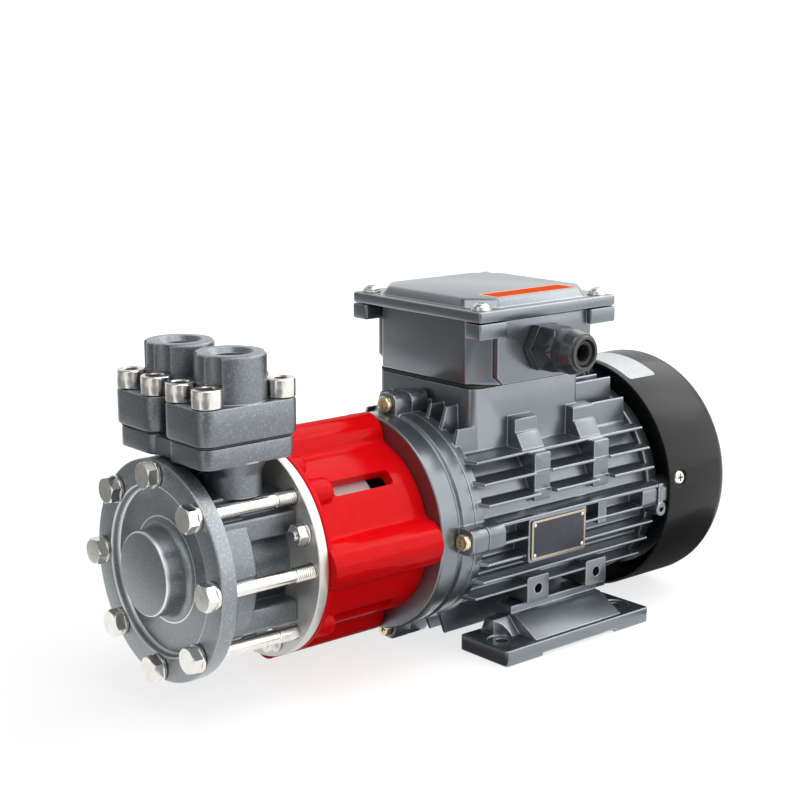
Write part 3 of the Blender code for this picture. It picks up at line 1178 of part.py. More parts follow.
def fan_cover(material):
    """Pressed steel cowl over the fan, with a slotted grille in its rear face."""
    wall = COWL_WALL
    outer = [(COWL_FRONT, COWL_RADIUS), *rounded_end(COWL_REAR, COWL_RADIUS, COWL_ROUNDING), (COWL_REAR, 0)]
    inner = rounded_end(COWL_REAR - wall, COWL_RADIUS - wall, COWL_ROUNDING - wall)
    outline = [(COWL_REAR - wall, 0), *reversed(inner), (COWL_FRONT, COWL_RADIUS - wall), *outer]
    cowl = turned("fan_cover", outline, material)
    for number, (count, low, high) in enumerate(GRILLE_SLOTS, 1):
        slots = bmesh.new()
        for angle in ring_angles(count, math.pi / count):
            verts = add_block(
                slots, (COWL_REAR - 2 * wall, -GRILLE_SLOT_WIDTH / 2, low), (COWL_REAR + wall, GRILLE_SLOT_WIDTH / 2, high))
            bmesh.ops.rotate(slots, verts=verts, cent=(0, 0, 0), matrix=Matrix.Rotation(angle, 3, "X"))
        cut(cowl, tool(f"grille_slots_{number}", slots))


def feet(material):
    """Two foot castings: a drilled bar, relieved underneath, and a sloped web up to the housing."""
    floor = -SHAFT_HEIGHT
    top = floor + FOOT_THICKNESS
    sunk = top - 0.001
    ledge = floor + FOOT_LEDGE_HEIGHT
    front = FOOT_HOLE_SETBACK - (FOOT_LENGTH - FOOT_PITCH) / 2
    rear = front + FOOT_LENGTH
    web_low = front + FOOT_WEB_SETBACK
    post_top = -SIDE_PAD_HIGH - SEAT
    post_outer = FOOT_LEDGE_REACH - FOOT_LEDGE_WIDTH
    inner_edge = FOOT_REACH - FOOT_WIDTH + 0.001
    gusset_outer = FOOT_LEDGE_REACH - FOOT_GUSSET_INSET
    for side, name in ((-1, "foot_near"), (1, "foot_far")):
        bar = bmesh.new()
        low_y, high_y = sorted((side * FOOT_REACH, side * (FOOT_REACH - FOOT_WIDTH)))
        add_block(bar, (front, low_y, floor), (rear, high_y, top), 0.002, "Z", 2)
        foot = solid(name, bar, material)
        slope = [
            (FOOT_REACH - FOOT_EDGE, sunk), (FOOT_REACH - FOOT_EDGE, top), (FOOT_LEDGE_REACH, ledge), (post_outer, ledge),
            (post_outer, post_top), (post_outer - FOOT_POST_WIDTH, post_top), (inner_edge, top), (inner_edge, sunk)]
        web = extrusion([(side * y, z) for y, z in slope], web_low, web_low + FOOT_WEB_LENGTH)
        join(foot, tool(f"{name}_web", web))
        slope = [
            (FOOT_GUSSET_REACH, sunk), (gusset_outer, ledge - 0.001), (gusset_outer - FOOT_GUSSET_WIDTH, ledge - 0.001),
            (post_outer - FOOT_POST_WIDTH, sunk)]
        gusset = extrusion([(side * y, z) for y, z in slope], web_low - FOOT_GUSSET_LENGTH, web_low + 0.001)
        join(foot, tool(f"{name}_gusset", gusset))
        relief = bmesh.new()
        add_block(
            relief, (front + FOOT_PAD_LENGTH, low_y - 0.001, floor - 0.001),
            (rear - FOOT_PAD_LENGTH, high_y + 0.001, floor + FOOT_RELIEF))
        cut(foot, tool(f"{name}_relief", relief))
        holes = bmesh.new()
        for x in (FOOT_HOLE_SETBACK, FOOT_HOLE_SETBACK + FOOT_PITCH):
            add_bar(holes, FOOT_HOLE_RADIUS, floor - 0.001, top + 0.001, "Z", (x, side * FOOT_GAUGE / 2, 0), MEDIUM)
        cut(foot, tool(f"{name}_holes", holes))


def terminal_box(box_material, gasket_material, block_material, stud_material):
    """Terminal box on its gasket, with the terminal block inside."""
    gasket_sheet = bmesh.new()
    bottom = PEDESTAL_TOP + SEAT
    half = PEDESTAL_WIDTH / 2
    add_block(
        gasket_sheet, (PEDESTAL_FRONT, -half, bottom), (PEDESTAL_FRONT + PEDESTAL_LENGTH, half, bottom + BOX_GASKET_THICKNESS),
        PEDESTAL_CORNER)
    gasket = solid("box_gasket", gasket_sheet, gasket_material)
    wires = bmesh.new()
    add_bar(wires, WIRE_HOLE_RADIUS, bottom - 0.001, BOX_BOTTOM + BOX_WALL + 0.001, "Z", (BOX_X, 0, 0), SMALL)
    wire_tool = tool("box_wire_hole", wires)
    cut(gasket, wire_tool)

    shell = bmesh.new()
    half = BOX_WIDTH / 2
    rear = BOX_FRONT + BOX_LENGTH
    add_block(shell, (BOX_FRONT, -half, BOX_BOTTOM), (rear, half, BOX_TOP), BOX_CHAMFER, "Z", 1)
    box = solid("terminal_box", shell, box_material)
    pads = bmesh.new()
    pad_low = BOX_X - ENTRY_PAD_LENGTH / 2
    for side in (-1, 1):
        low_y, high_y = sorted((side * (half + ENTRY_PAD_PROUD), side * (half - 0.001)))
        add_block(
            pads, (pad_low, low_y, BOX_BOTTOM + 0.0002), (pad_low + ENTRY_PAD_LENGTH, high_y, BOX_TOP - 0.0002), 0.004, "Y", 1)
    join(box, tool("entry_pads", pads))
    tabs = bmesh.new()
    for end in (-1, 1):
        for side in (-1, 1):
            corner_x = BOX_X + end * LID_LENGTH / 2
            corner_y = side * LID_WIDTH / 2
            low_x, high_x = sorted((corner_x, corner_x - end * LID_TAB_LENGTH))
            low_y, high_y = sorted((corner_y, corner_y - side * LID_TAB_WIDTH))
            add_block(tabs, (low_x, low_y, BOX_TOP - LID_TAB_HEIGHT), (high_x, high_y, BOX_TOP - 0.0001))
    join(box, tool("lid_tabs", tabs))
    inside = bmesh.new()
    wall = BOX_WALL
    add_block(
        inside, (BOX_FRONT + wall, -half + wall, BOX_BOTTOM + wall), (rear - wall, half - wall, BOX_TOP + 0.001),
        BOX_CHAMFER - wall * 0.6, "Z", 1)
    cut(box, tool("box_inside", inside))
    cut(box, wire_tool)
    entry = bmesh.new()
    add_bar(entry, GLAND_THREAD_RADIUS + SEAT, -GLAND_FACE - 0.001, -half + wall + 0.002, "Y", (GLAND_X, 0, GLAND_Z), MEDIUM)
    cut(box, tool("gland_entry", entry))

    floor = BOX_BOTTOM + wall + SEAT
    block_y = half - wall - TERMINAL_BLOCK_GAP - TERMINAL_BLOCK_WIDTH
    slab = bmesh.new()
    add_block(
        slab, (BOX_X - TERMINAL_BLOCK_LENGTH / 2, block_y, floor),
        (BOX_X + TERMINAL_BLOCK_LENGTH / 2, block_y + TERMINAL_BLOCK_WIDTH, floor + TERMINAL_BLOCK_HEIGHT))
    block = solid("terminal_block", slab, block_material)
    studs = bmesh.new()
    for row in (-1, 1):
        for column in (-1, 0, 1):
            place = (BOX_X + column * TERMINAL_STUD_PITCH, block_y + TERMINAL_BLOCK_WIDTH / 2 + row * TERMINAL_STUD_PITCH / 2, 0)
            top = floor + TERMINAL_BLOCK_HEIGHT
            add_bar(studs, TERMINAL_STUD_RADIUS, top - 0.002, top + TERMINAL_STUD_HEIGHT, "Z", place, 8)
    join(block, tool("terminal_studs", studs))


def terminal_lid(material):
    """Lid with a raised, chamfered plateau, hollow underneath."""
    plate = bmesh.new()
    half_length = LID_LENGTH / 2
    half_width = LID_WIDTH / 2
    add_block(
        plate, (BOX_X - half_length, -half_width, LID_BOTTOM), (BOX_X + half_length, half_width, LID_TOP), 0.001, "Z", 1)
    lid = solid("terminal_lid", plate, material)
    raised = bmesh.new()
    half_length = LID_PLATEAU_LENGTH / 2
    half_width = LID_PLATEAU_WIDTH / 2
    top = LID_TOP + LID_PLATEAU_HEIGHT
    add_block(
        raised, (BOX_X - half_length, -half_width, LID_TOP - 0.001), (BOX_X + half_length, half_width, top), BOX_CHAMFER, "Z", 1)
    upper = [vert for vert in raised.verts if vert.co.z > top - 0.0001]
    for vert in upper:
        vert.co.x += math.copysign(LID_PLATEAU_SLOPE, BOX_X - vert.co.x)
        vert.co.y -= math.copysign(LID_PLATEAU_SLOPE, vert.co.y)
    join(lid, tool("lid_plateau", raised))
    inside = bmesh.new()
    wall = BOX_WALL
    add_block(
        inside, (BOX_X - half_length + 2 * wall, -half_width + 2 * wall, LID_BOTTOM - 0.001),
        (BOX_X + half_length - 2 * wall, half_width - 2 * wall, top - wall), BOX_CHAMFER, "Z", 1)
    cut(lid, tool("lid_inside", inside))


def cable_gland(material, seal_material):
    """Gland body screwed into the box, its domed nut and the rubber seal between them."""
    place = (GLAND_X, 0, GLAND_Z)
    base = GLAND_FACE + SEAT
    stub = base + GLAND_HEX_THICKNESS
    inner_end = GLAND_FACE - GLAND_SPIGOT_LENGTH
    stub_end = stub + GLAND_STUB_LENGTH
    body = turned("gland_body", [
        (inner_end, GLAND_BORE_RADIUS), (inner_end, GLAND_THREAD_RADIUS), (base + 0.001, GLAND_THREAD_RADIUS),
        (base + 0.001, GLAND_STUB_RADIUS), (stub_end, GLAND_STUB_RADIUS), (stub_end, GLAND_BORE_RADIUS)],
        material, MEDIUM, axis="-Y", location=place)
    flange = turned("gland_flange", [
        (base, GLAND_BORE_RADIUS + 0.0018), (base, GLAND_HEX_RADIUS),
        (stub, GLAND_HEX_RADIUS), (stub, GLAND_BORE_RADIUS + 0.0018)],
        None, 6, axis="-Y", location=place)
    join(body, flange)
    nut_face = GLAND_NUT_FACE
    dome = nut_face + GLAND_NUT_HEX_LENGTH
    tip = GLAND_TIP
    clearance = GLAND_STUB_RADIUS + SEAT
    nut = turned("gland_nut", [
        (nut_face, clearance), (nut_face, GLAND_HEX_RADIUS - 0.0012), (dome, GLAND_HEX_RADIUS - 0.0012),
        (tip - 0.005, GLAND_HEX_RADIUS - 0.0022), (tip - 0.0012, GLAND_HEX_RADIUS - 0.005), (tip, GLAND_MOUTH_RADIUS + 0.0004),
        (tip, GLAND_MOUTH_RADIUS), (tip - 0.004, GLAND_MOUTH_RADIUS), (tip - 0.0055, clearance)],
        material, MEDIUM, axis="-Y", location=place)
    hexagon = turned("gland_nut_hexagon", [
        (nut_face + 0.0004, clearance + 0.0025), (nut_face + 0.0004, GLAND_HEX_RADIUS),
        (dome - 0.0004, GLAND_HEX_RADIUS), (dome - 0.0004, clearance + 0.0025)],
        None, 6, axis="-Y", location=place)
    join(nut, hexagon)
    seal_start = stub_end + SEAT
    seal_outer = GLAND_STUB_RADIUS - 0.0002
    turned("gland_seal", [
        (seal_start, GLAND_SEAL_BORE), (seal_start, seal_outer), (tip - 0.0060, seal_outer),
        (tip - 0.0045, GLAND_MOUTH_RADIUS - SEAT), (tip - 0.0015, GLAND_MOUTH_RADIUS - SEAT), (tip - 0.0015, GLAND_SEAL_BORE)],
        seal_material, MEDIUM, axis="-Y", location=place)


def nameplate(material):
    """Blank plate on its pad, on the gland's side of the housing."""
    plate = bmesh.new()
    half = NAMEPLATE_HEIGHT / 2
    add_block(
        plate, (NAMEPLATE_FRONT, -NAMEPLATE_REACH, NAMEPLATE_MIDDLE - half),
        (NAMEPLATE_FRONT + NAMEPLATE_LENGTH, -NAMEPLATE_REACH + NAMEPLATE_THICKNESS, NAMEPLATE_MIDDLE + half), 0.001, "Y", 1)
    solid("nameplate", plate, material)


def build():
    cast = make_material("cast_iron_dark", CAST_IRON, 0.45, 0.6)
    machined = make_material("machined_steel", MACHINED_STEEL, 0.3, 1.0)
    stainless = make_material("stainless_steel", STAINLESS, 0.25, 1.0)
    red = make_material("red_paint", LANTERN_RED, 0.4, 0.0)
    grey = make_material("grey_motor_paint", MOTOR_GREY, 0.4, 0.3)
    black = make_material("black_steel_paint", COWL_BLACK, 0.35, 0.0)
    rubber = make_material("black_rubber", RUBBER_BLACK, 0.7, 0.0)
    nylon = make_material("black_nylon", RUBBER_BLACK, 0.45, 0.0)
    zinc = make_material("yellow_zinc", ZINC_YELLOW, 0.3, 1.0)
    carbon = make_material("carbon_bush", GRAPHITE, 0.6, 0.0)
    phenolic = make_material("terminal_moulding", PLASTIC_GREY, 0.5, 0.0)
    plate = make_material("aluminium_plate", MACHINED_STEEL, 0.35, 1.0)

    front_cover(cast)
    tie_bolts(stainless)
    casing_gasket(rubber)
    pump_casing(cast)
    for name, side in (("inlet", -1), ("outlet", 1)):
        middle = side * PORT_SPACING / 2
        port_flange(f"{name}_flange", middle, cast)
        port_gasket(f"{name}_gasket", middle, rubber)
    port_screws(stainless)
    impeller(stainless)
    pump_shaft_and_bushes(stainless, carbon)
    magnetic_coupling(stainless, stainless, machined)
    adapter_ring(machined)
    ring_nuts(stainless)
    lantern(red)
    front_endshield(grey)
    endshield_screws(zinc)
    motor_housing(grey)
    motor_internals(machined, machined, machined)
    rear_endshield(grey)
    fan(nylon)
    fan_cover(black)
    feet(grey)
    terminal_box(grey, rubber, phenolic, zinc)
    terminal_lid(grey)
    cable_gland(nylon, rubber)
    nameplate(plate)


build()
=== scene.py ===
"""Looks of a magnetic drive pump: castings, machined rings, fasteners and paint, with a studio round them.

Shapes are drawn in millimetres about the shaft: X runs from the pump's front cover to the motor's fan,
X = 0 is the motor's drive end face, Z is up, and the cable gland is on the -Y side. piece() puts each
finished shape in the frame's own place and units.
"""

import math

import bmesh
import bpy
from mathutils import Matrix, Vector


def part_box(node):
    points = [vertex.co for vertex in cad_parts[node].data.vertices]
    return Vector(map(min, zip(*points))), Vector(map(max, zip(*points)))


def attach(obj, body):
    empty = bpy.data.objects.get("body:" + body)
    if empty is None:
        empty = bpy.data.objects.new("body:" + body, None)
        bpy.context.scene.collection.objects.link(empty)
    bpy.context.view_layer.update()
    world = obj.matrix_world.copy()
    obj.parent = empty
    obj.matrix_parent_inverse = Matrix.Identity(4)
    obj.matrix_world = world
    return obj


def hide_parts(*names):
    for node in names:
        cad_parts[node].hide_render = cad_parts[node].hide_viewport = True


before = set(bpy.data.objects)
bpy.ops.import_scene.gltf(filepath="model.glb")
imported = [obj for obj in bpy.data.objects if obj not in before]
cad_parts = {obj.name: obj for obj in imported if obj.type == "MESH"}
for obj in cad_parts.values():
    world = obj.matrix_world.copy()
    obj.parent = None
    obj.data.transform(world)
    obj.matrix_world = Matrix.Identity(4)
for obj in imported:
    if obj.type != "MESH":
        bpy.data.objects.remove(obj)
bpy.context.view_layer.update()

STATIC = "pump_and_motor"
DRIVE = "drive_rotor"
PUMP_ROTOR = "pump_rotor"

# The shaft's place in the frame: the lantern ends at the motor's face, and the cover is centred on the shaft
COVER_LOW, COVER_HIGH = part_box("front_cover")
MOTOR_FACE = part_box("lantern")[1].x
AXIS_Y = (COVER_LOW.y + COVER_HIGH.y) / 2
AXIS_Z = (COVER_LOW.z + COVER_HIGH.z) / 2
MM = 0.001
TO_FRAME = Matrix.Translation((MOTOR_FACE, AXIS_Y, AXIS_Z)) @ Matrix.Scale(MM, 4)
FULL_TURN = 2 * math.pi
QUARTER = math.pi / 2


def drawn(node):
    """Lowest and highest corner of a CAD node, in millimetres about the shaft."""
    back = TO_FRAME.inverted()
    low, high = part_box(node)
    return back @ low, back @ high


# Shapes


def rounded(points, closed, steps=5):
    """Outline from points (a, b) or (a, b, radius); a point with a radius becomes an arc."""
    result = []
    for index, point in enumerate(points):
        corner = Vector(point[:2])
        if len(point) < 3 or (not closed and index in (0, len(points) - 1)):
            result.append(corner)
            continue
        before = Vector(points[index - 1][:2]) - corner
        after = Vector(points[(index + 1) % len(points)][:2]) - corner
        half = before.angle(after) / 2
        # A fillet takes less than half of the edge on either side
        reach = min(point[2] / math.tan(half), before.length * 0.49, after.length * 0.49)
        radius = reach * math.tan(half)
        centre = corner + (before.normalized() + after.normalized()).normalized() * (radius / math.sin(half))
        start = corner + before.normalized() * reach - centre
        end = corner + after.normalized() * reach - centre
        first = math.atan2(start.y, start.x)
        sweep = math.atan2(start.x * end.y - start.y * end.x, start.dot(end))
        turns = [first + sweep * step / steps for step in range(steps + 1)]
        result.extend(centre + radius * Vector((math.cos(turn), math.sin(turn))) for turn in turns)
    return result


TURN_X_TO = {
    "X": Matrix.Identity(4),
    "-Y": Matrix.Rotation(-QUARTER, 4, "Z"),
    "Z": Matrix.Rotation(-QUARTER, 4, "Y"),
}
TURN_Z_TO = {
    "X": Matrix.Rotation(QUARTER, 4, "Y"),
    "Y": Matrix.Rotation(-QUARTER, 4, "X"),
    "Z": Matrix.Identity(4),
}


def lathe(outline, segments=96, axis="X", centre=(0, 0, 0)):
    """Profile of (station, radius[, fillet]) points turned about an axis; one off the axis makes a ring."""
    closed = outline[0][1] > 0
    bm = bmesh.new()
    verts = [bm.verts.new((station, radius, 0)) for station, radius in rounded(outline, closed)]
    for first, second in zip(verts, verts[1:]):
        bm.edges.new((first, second))
    if closed:
        bm.edges.new((verts[-1], verts[0]))
    bmesh.ops.spin(
        bm, geom=bm.verts[:] + bm.edges[:], cent=(0, 0, 0), axis=(1, 0, 0), dvec=(0, 0, 0),
        angle=FULL_TURN, steps=segments, use_merge=True, use_duplicate=False)
    bmesh.ops.remove_doubles(bm, verts=bm.verts, dist=0.0005)
    bmesh.ops.recalc_face_normals(bm, faces=bm.faces)
    bmesh.ops.transform(bm, matrix=Matrix.Translation(centre) @ TURN_X_TO[axis], verts=bm.verts)
    return bm


def bar(radius, start, end, axis="X", centre=(0, 0, 0), segments=32):
    """Cylinder or prism along an axis, from start to end."""
    place = Vector(centre)
    place["XYZ".index(axis)] = (start + end) / 2
    bm = bmesh.new()
    bmesh.ops.create_cone(
        bm, cap_ends=True, segments=segments, radius1=radius, radius2=radius, depth=end - start,
        matrix=Matrix.Translation(place) @ TURN_Z_TO[axis])
    return bm


def prism(points, start, end, fillets=True):
    """Outline of (y, z[, fillet]) points extruded along X from start to end."""
    outline = rounded(points, True) if fillets else points
    bm = bmesh.new()
    face = bm.faces.new([bm.verts.new((start, y, z)) for y, z in outline])
    grown = bmesh.ops.extrude_face_region(bm, geom=[face])["geom"]
    far_verts = [item for item in grown if isinstance(item, bmesh.types.BMVert)]
    bmesh.ops.translate(bm, vec=(end - start, 0, 0), verts=far_verts)
    bmesh.ops.recalc_face_normals(bm, faces=bm.faces)
    return bm


def soften(bm, width, steps=2, choose=lambda edge: True, angle=25):
    """Round the chosen edges that are sharper than an angle in degrees."""
    edges = [
        edge for edge in bm.edges
        if len(edge.link_faces) == 2 and edge.calc_face_angle() > math.radians(angle) and choose(edge)]
    bmesh.ops.bevel(
        bm, geom=edges, offset=width, offset_type="OFFSET", segments=steps, profile=0.5, affect="EDGES",
        clamp_overlap=True, material=-1)
    return bm


def block(low, high, corner=0.0, axis="Z", edge=0.0, corner_steps=6):
    """Box between two corners: the edges along one axis rounded first, then every sharp edge."""
    low, high = Vector(low), Vector(high)
    bm = bmesh.new()
    bmesh.ops.create_cube(
        bm, size=1.0, matrix=Matrix.Translation((low + high) / 2) @ Matrix.Diagonal((*(high - low), 1.0)))
    if corner:
        along = Vector([float(letter == axis) for letter in "XYZ"])

        def runs_along(side):
            return abs((side.verts[0].co - side.verts[1].co).normalized().dot(along)) > 0.9

        soften(bm, corner, corner_steps, runs_along)
    if edge:
        soften(bm, edge)
    return bm


def cross_slots(axis, start, end, half_width, half_length, centre=(0.0, 0.0)):
    """Two crossed slots for the recess of a screw's head, centred on the other two axes."""
    slots = []
    for sizes in ((half_width, half_length), (half_length, half_width)):
        spans = [(middle - half, middle + half) for middle, half in zip(centre, sizes)]
        spans.insert("XYZ".index(axis), (start, end))
        slots.append(block(*zip(*spans)))
    return slots


def gather(shapes):
    """Several separate shapes as one bmesh."""
    whole = bmesh.new()
    for shape in shapes:
        mesh = bpy.data.meshes.new("gathered")
        shape.to_mesh(mesh)
        shape.free()
        whole.from_mesh(mesh)
        bpy.data.meshes.remove(mesh)
    return whole


def turned_about_shaft(bm, angle):
    """Turn a shape about the shaft; a quarter turn brings one from the gland's side (-Y) to the top."""
    bmesh.ops.rotate(bm, verts=bm.verts, cent=(0, 0, 0), matrix=Matrix.Rotation(-angle, 3, "X"))
    return bm


def around(radius, angle):
    """Point on a circle about the shaft: angle 0 is the gland's side, a quarter turn is up."""
    return (0.0, -radius * math.cos(angle), radius * math.sin(angle))


def angles(count, phase=0.0):
    """Angles of this many places spaced evenly round a circle."""
    return [phase + FULL_TURN * index / count for index in range(count)]


def bars_around(circle, places, radius, start, end, segments=32):
    """Bars along X, one at each of these angles of a circle about the shaft."""
    return [bar(radius, start, end, centre=around(circle, angle), segments=segments) for angle in places]


def combined(base, tools, operation):
    """Join the tools to the base, cut them from it or keep what they share, one after another."""
    made = []
    for name, shape in [("base", base)] + [("tool", tool) for tool in tools]:
        mesh = bpy.data.meshes.new(name)
        shape.to_mesh(mesh)
        shape.free()
        made.append(bpy.data.objects.new(name, mesh))
        bpy.context.scene.collection.objects.link(made[-1])
    for tool in made[1:]:
        modifier = made[0].modifiers.new(tool.name, "BOOLEAN")
        modifier.operation = operation
        modifier.solver = "EXACT"
        modifier.object = tool
    result = bmesh.new()
    result.from_object(made[0], bpy.context.evaluated_depsgraph_get())
    for obj in made:
        mesh = obj.data
        bpy.data.objects.remove(obj)
        bpy.data.meshes.remove(mesh)
    return result


def joined(base, *tools):
    """The base with the tools joined to it."""
    return combined(base, tools, "UNION")


def carved(base, *tools):
    """The base with the tools cut from it."""
    return combined(base, tools, "DIFFERENCE")


def shared(base, *tools):
    """What the base and the tools have in common."""
    return combined(base, tools, "INTERSECT")


def piece(bm, name, finish, replaces=None, body=STATIC, smooth=32):
    """Finish a shape: put it in the frame, give it its material and let it ride on its body."""
    bmesh.ops.transform(bm, matrix=TO_FRAME, verts=bm.verts)
    mesh = bpy.data.meshes.new(name)
    bm.to_mesh(mesh)
    bm.free()
    mesh.materials.append(finish)
    mesh.shade_smooth()
    mesh.set_sharp_from_angle(angle=math.radians(smooth))
    obj = bpy.data.objects.new(name, mesh)
    bpy.context.scene.collection.objects.link(obj)
    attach(obj, body)
    if replaces:
        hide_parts(replaces)


def numbered_pieces(bm, places, name, finish, node):
    """Copies of a fastener, one for each matrix and numbered CAD node; the shape itself is used up."""
    for number, matrix in enumerate(places, 1):
        copy = bm.copy()
        bmesh.ops.transform(copy, matrix=matrix, verts=copy.verts)
        piece(copy, f"{name}_{number}", finish, f"{node}_{number}")
    bm.free()


# Materials

STRONGEST = 0.85    # share of the painted highlight's colour in the middle of an edge or ring highlight


def linear(hex_colour):
    """sRGB hex to a linear colour with alpha."""
    channels = [int(hex_colour[start:start + 2], 16) / 255 for start in (1, 3, 5)]
    return (*[c / 12.92 if c <= 0.04045 else ((c + 0.055) / 1.055) ** 2.4 for c in channels], 1.0)


def per(millimetres):
    """Scale of a pattern on Object coordinates whose features are this many millimetres across."""
    return 1 / (millimetres * MM)


def add(tree, kind, links=None, **settings):
    """Add a node: links holds its inputs, each a value or the output that feeds it."""
    node = tree.nodes.new(kind)
    for name, value in settings.items():
        setattr(node, name, value)
    for name, value in (links or {}).items():
        if isinstance(value, bpy.types.NodeSocket):
            tree.links.new(value, node.inputs[name])
        else:
            node.inputs[name].default_value = value
    return node


def material(name, slot, metallic, roughness, **shader_values):
    """New material with its Principled shader set; returns material, tree, shader and Object coordinates."""
    made = bpy.data.materials.new(name)
    made.use_nodes = True
    made["slot"] = slot
    tree = made.node_tree
    shader = tree.nodes["Principled BSDF"]
    shader.inputs["Metallic"].default_value = metallic
    shader.inputs["Roughness"].default_value = roughness
    for socket, value in shader_values.items():
        shader.inputs[socket.replace("_", " ")].default_value = value
    place = add(tree, "ShaderNodeTexCoord").outputs["Object"]
    return made, tree, shader, place


def feed(tree, shader, **inputs):
    """Link outputs to the shader's sockets, named with underscores."""
    for socket, output in inputs.items():
        tree.links.new(output, shader.inputs[socket.replace("_", " ")])


def blend_colours(tree, factor, first, second):
    """Blend two colours, each a hex value or an output, by a factor from 0 to 1."""
    mix = add(tree, "ShaderNodeMix", data_type="RGBA")
    tree.links.new(factor, mix.inputs[0])
    for index, colour in ((6, first), (7, second)):
        if isinstance(colour, str):
            mix.inputs[index].default_value = linear(colour)
        else:
            tree.links.new(colour, mix.inputs[index])
    return mix.outputs[2]


def noise(tree, place, size, detail=3.0):
    """Noise whose lumps are about size millimetres across."""
    links = {"Vector": place, "Scale": per(size), "Detail": detail}
    return add(tree, "ShaderNodeTexNoise", links).outputs["Fac"]


def spread(tree, value, low, high, from_low=0.3, from_high=0.7):
    """Map a pattern's middle range to low ... high."""
    links = {"Value": value, "From Min": from_low, "From Max": from_high, "To Min": low, "To Max": high}
    return add(tree, "ShaderNodeMapRange", links).outputs["Result"]


def relief(tree, height, depth, edge=0.0):
    """Bump of this depth in millimetres, over edges rounded by a radius in millimetres."""
    links = {"Height": height, "Distance": depth * MM, "Strength": 1.0}
    if edge:
        links["Normal"] = add(tree, "ShaderNodeBevel", {"Radius": edge * MM}, samples=4).outputs["Normal"]
    return add(tree, "ShaderNodeBump", links).outputs["Normal"]


def edge_lit(tree, colour, speck_and_highlight, width, highlight_full_at=0.8, highlight_end_at=0.99):
    """Painted highlight: a lighter colour along outer edges, where a rounded normal leaves the true one.

    The product of the two normals sets where the painted highlight is strongest and where it ends.
    """
    rounded_normal = add(tree, "ShaderNodeBevel", {"Radius": width * MM}, samples=4).outputs["Normal"]
    true_normal = add(tree, "ShaderNodeNewGeometry").outputs["Normal"]
    links = {0: rounded_normal, 1: true_normal}
    alike = add(tree, "ShaderNodeVectorMath", links, operation="DOT_PRODUCT").outputs["Value"]
    return blend_colours(tree, spread(tree, alike, STRONGEST, 0.0, highlight_full_at, highlight_end_at), colour, speck_and_highlight)


def painted_highlight_rings(tree, place, colour, shine, radii, width):
    """Painted highlights: thin bright lines at these radii in millimetres."""
    links = {"Vector": place, "Location": (0, -AXIS_Y, -AXIS_Z), "Scale": (0, 1, 1)}
    centred = add(tree, "ShaderNodeMapping", links).outputs["Vector"]
    radius = add(tree, "ShaderNodeVectorMath", {0: centred}, operation="LENGTH").outputs["Value"]
    for middle in radii:
        away = add(tree, "ShaderNodeMath", {0: radius, 1: middle * MM}, operation="SUBTRACT").outputs[0]
        away = add(tree, "ShaderNodeMath", {0: away}, operation="ABSOLUTE").outputs[0]
        share = spread(tree, away, STRONGEST, 0.0, width * MM / 2, width * MM)
        colour = blend_colours(tree, share, colour, shine)
    return colour


def cast_steel(name, light, deep, speck_and_highlight, lumpiness, rings=()):
    """Cast steel, shot blasted and given a clear coat: a dull dark sheen over a fine, slightly lumpy skin,
    with a painted highlight along outer edges.
    """
    made, tree, shader, place = material(
        name, "cast_iron_dark", 0.85, 0.36, Coat_Weight=0.6, Coat_Roughness=0.28)
    lumps = noise(tree, place, 1.6, 4)
    grit = noise(tree, place, 0.9, 2)
    cloud = noise(tree, place, 22, 2)
    colour = blend_colours(tree, spread(tree, lumps, 0, 1), deep, light)
    colour = blend_colours(tree, spread(tree, cloud, 0, 0.35), colour, light)
    # Only the highest grains are bare, as sparse bright specks
    colour = blend_colours(tree, spread(tree, grit, 0, 0.3, 0.55, 0.75), colour, speck_and_highlight)
    # Painted highlights: pale rings at the given radii
    if rings:
        colour = painted_highlight_rings(tree, place, colour, speck_and_highlight, rings, 0.5)
    height = add(tree, "ShaderNodeMath", {0: lumps, 1: grit}, operation="ADD").outputs[0]
    # Painted highlight: the pale colour along outer edges
    feed(
        tree, shader, Base_Color=edge_lit(tree, colour, speck_and_highlight, 1.0, highlight_full_at=0.816, highlight_end_at=0.998),
        Roughness=spread(tree, grit, 0.32, 0.46), Normal=relief(tree, height, lumpiness, edge=0.7))
    return made


def stainless():
    """A2 stainless steel, cold formed: bright, faintly scuffed by its own press and by the spanner."""
    made, tree, shader, place = material("cold_formed_stainless", "stainless_steel", 1.0, 0.2)
    scuffs = noise(tree, place, 5, 2)
    feed(
        tree, shader, Base_Color=blend_colours(tree, spread(tree, scuffs, 0, 1), "#D3CFC8", "#DEDDD9"),
        Roughness=spread(tree, scuffs, 0.17, 0.23))
    return made


def turned_steel():
    """Mild steel turned on a lathe: fine rings about the shaft that smear the light into rays."""
    made, tree, shader, place = material("turned_steel", "machined_steel", 0.6, 0.36)
    links = {"Vector": place, "Location": (0, -AXIS_Y, -AXIS_Z)}
    centred = add(tree, "ShaderNodeMapping", links).outputs["Vector"]
    # The real marks stand about 0.2 mm apart: they are drawn coarser so that they show
    tool_marks = add(
        tree, "ShaderNodeTexWave", {"Vector": centred, "Scale": per(6.5), "Distortion": 0.4, "Detail": 2.0},
        wave_type="RINGS", rings_direction="X", wave_profile="SAW").outputs["Fac"]
    feed_marks = add(
        tree, "ShaderNodeTexWave", {"Vector": place, "Scale": per(5), "Distortion": 0.3, "Detail": 2.0},
        wave_type="BANDS", bands_direction="X").outputs["Fac"]
    height = add(tree, "ShaderNodeMath", {0: tool_marks, 1: feed_marks}, operation="ADD").outputs[0]
    smudge = noise(tree, place, 9, 3)
    feed(
        tree, shader, Base_Color=blend_colours(tree, spread(tree, smudge, 0, 1), "#CDCCC8", "#D9D8D4"),
        Roughness=spread(tree, smudge, 0.32, 0.44), Normal=relief(tree, height, 0.006))
    return made


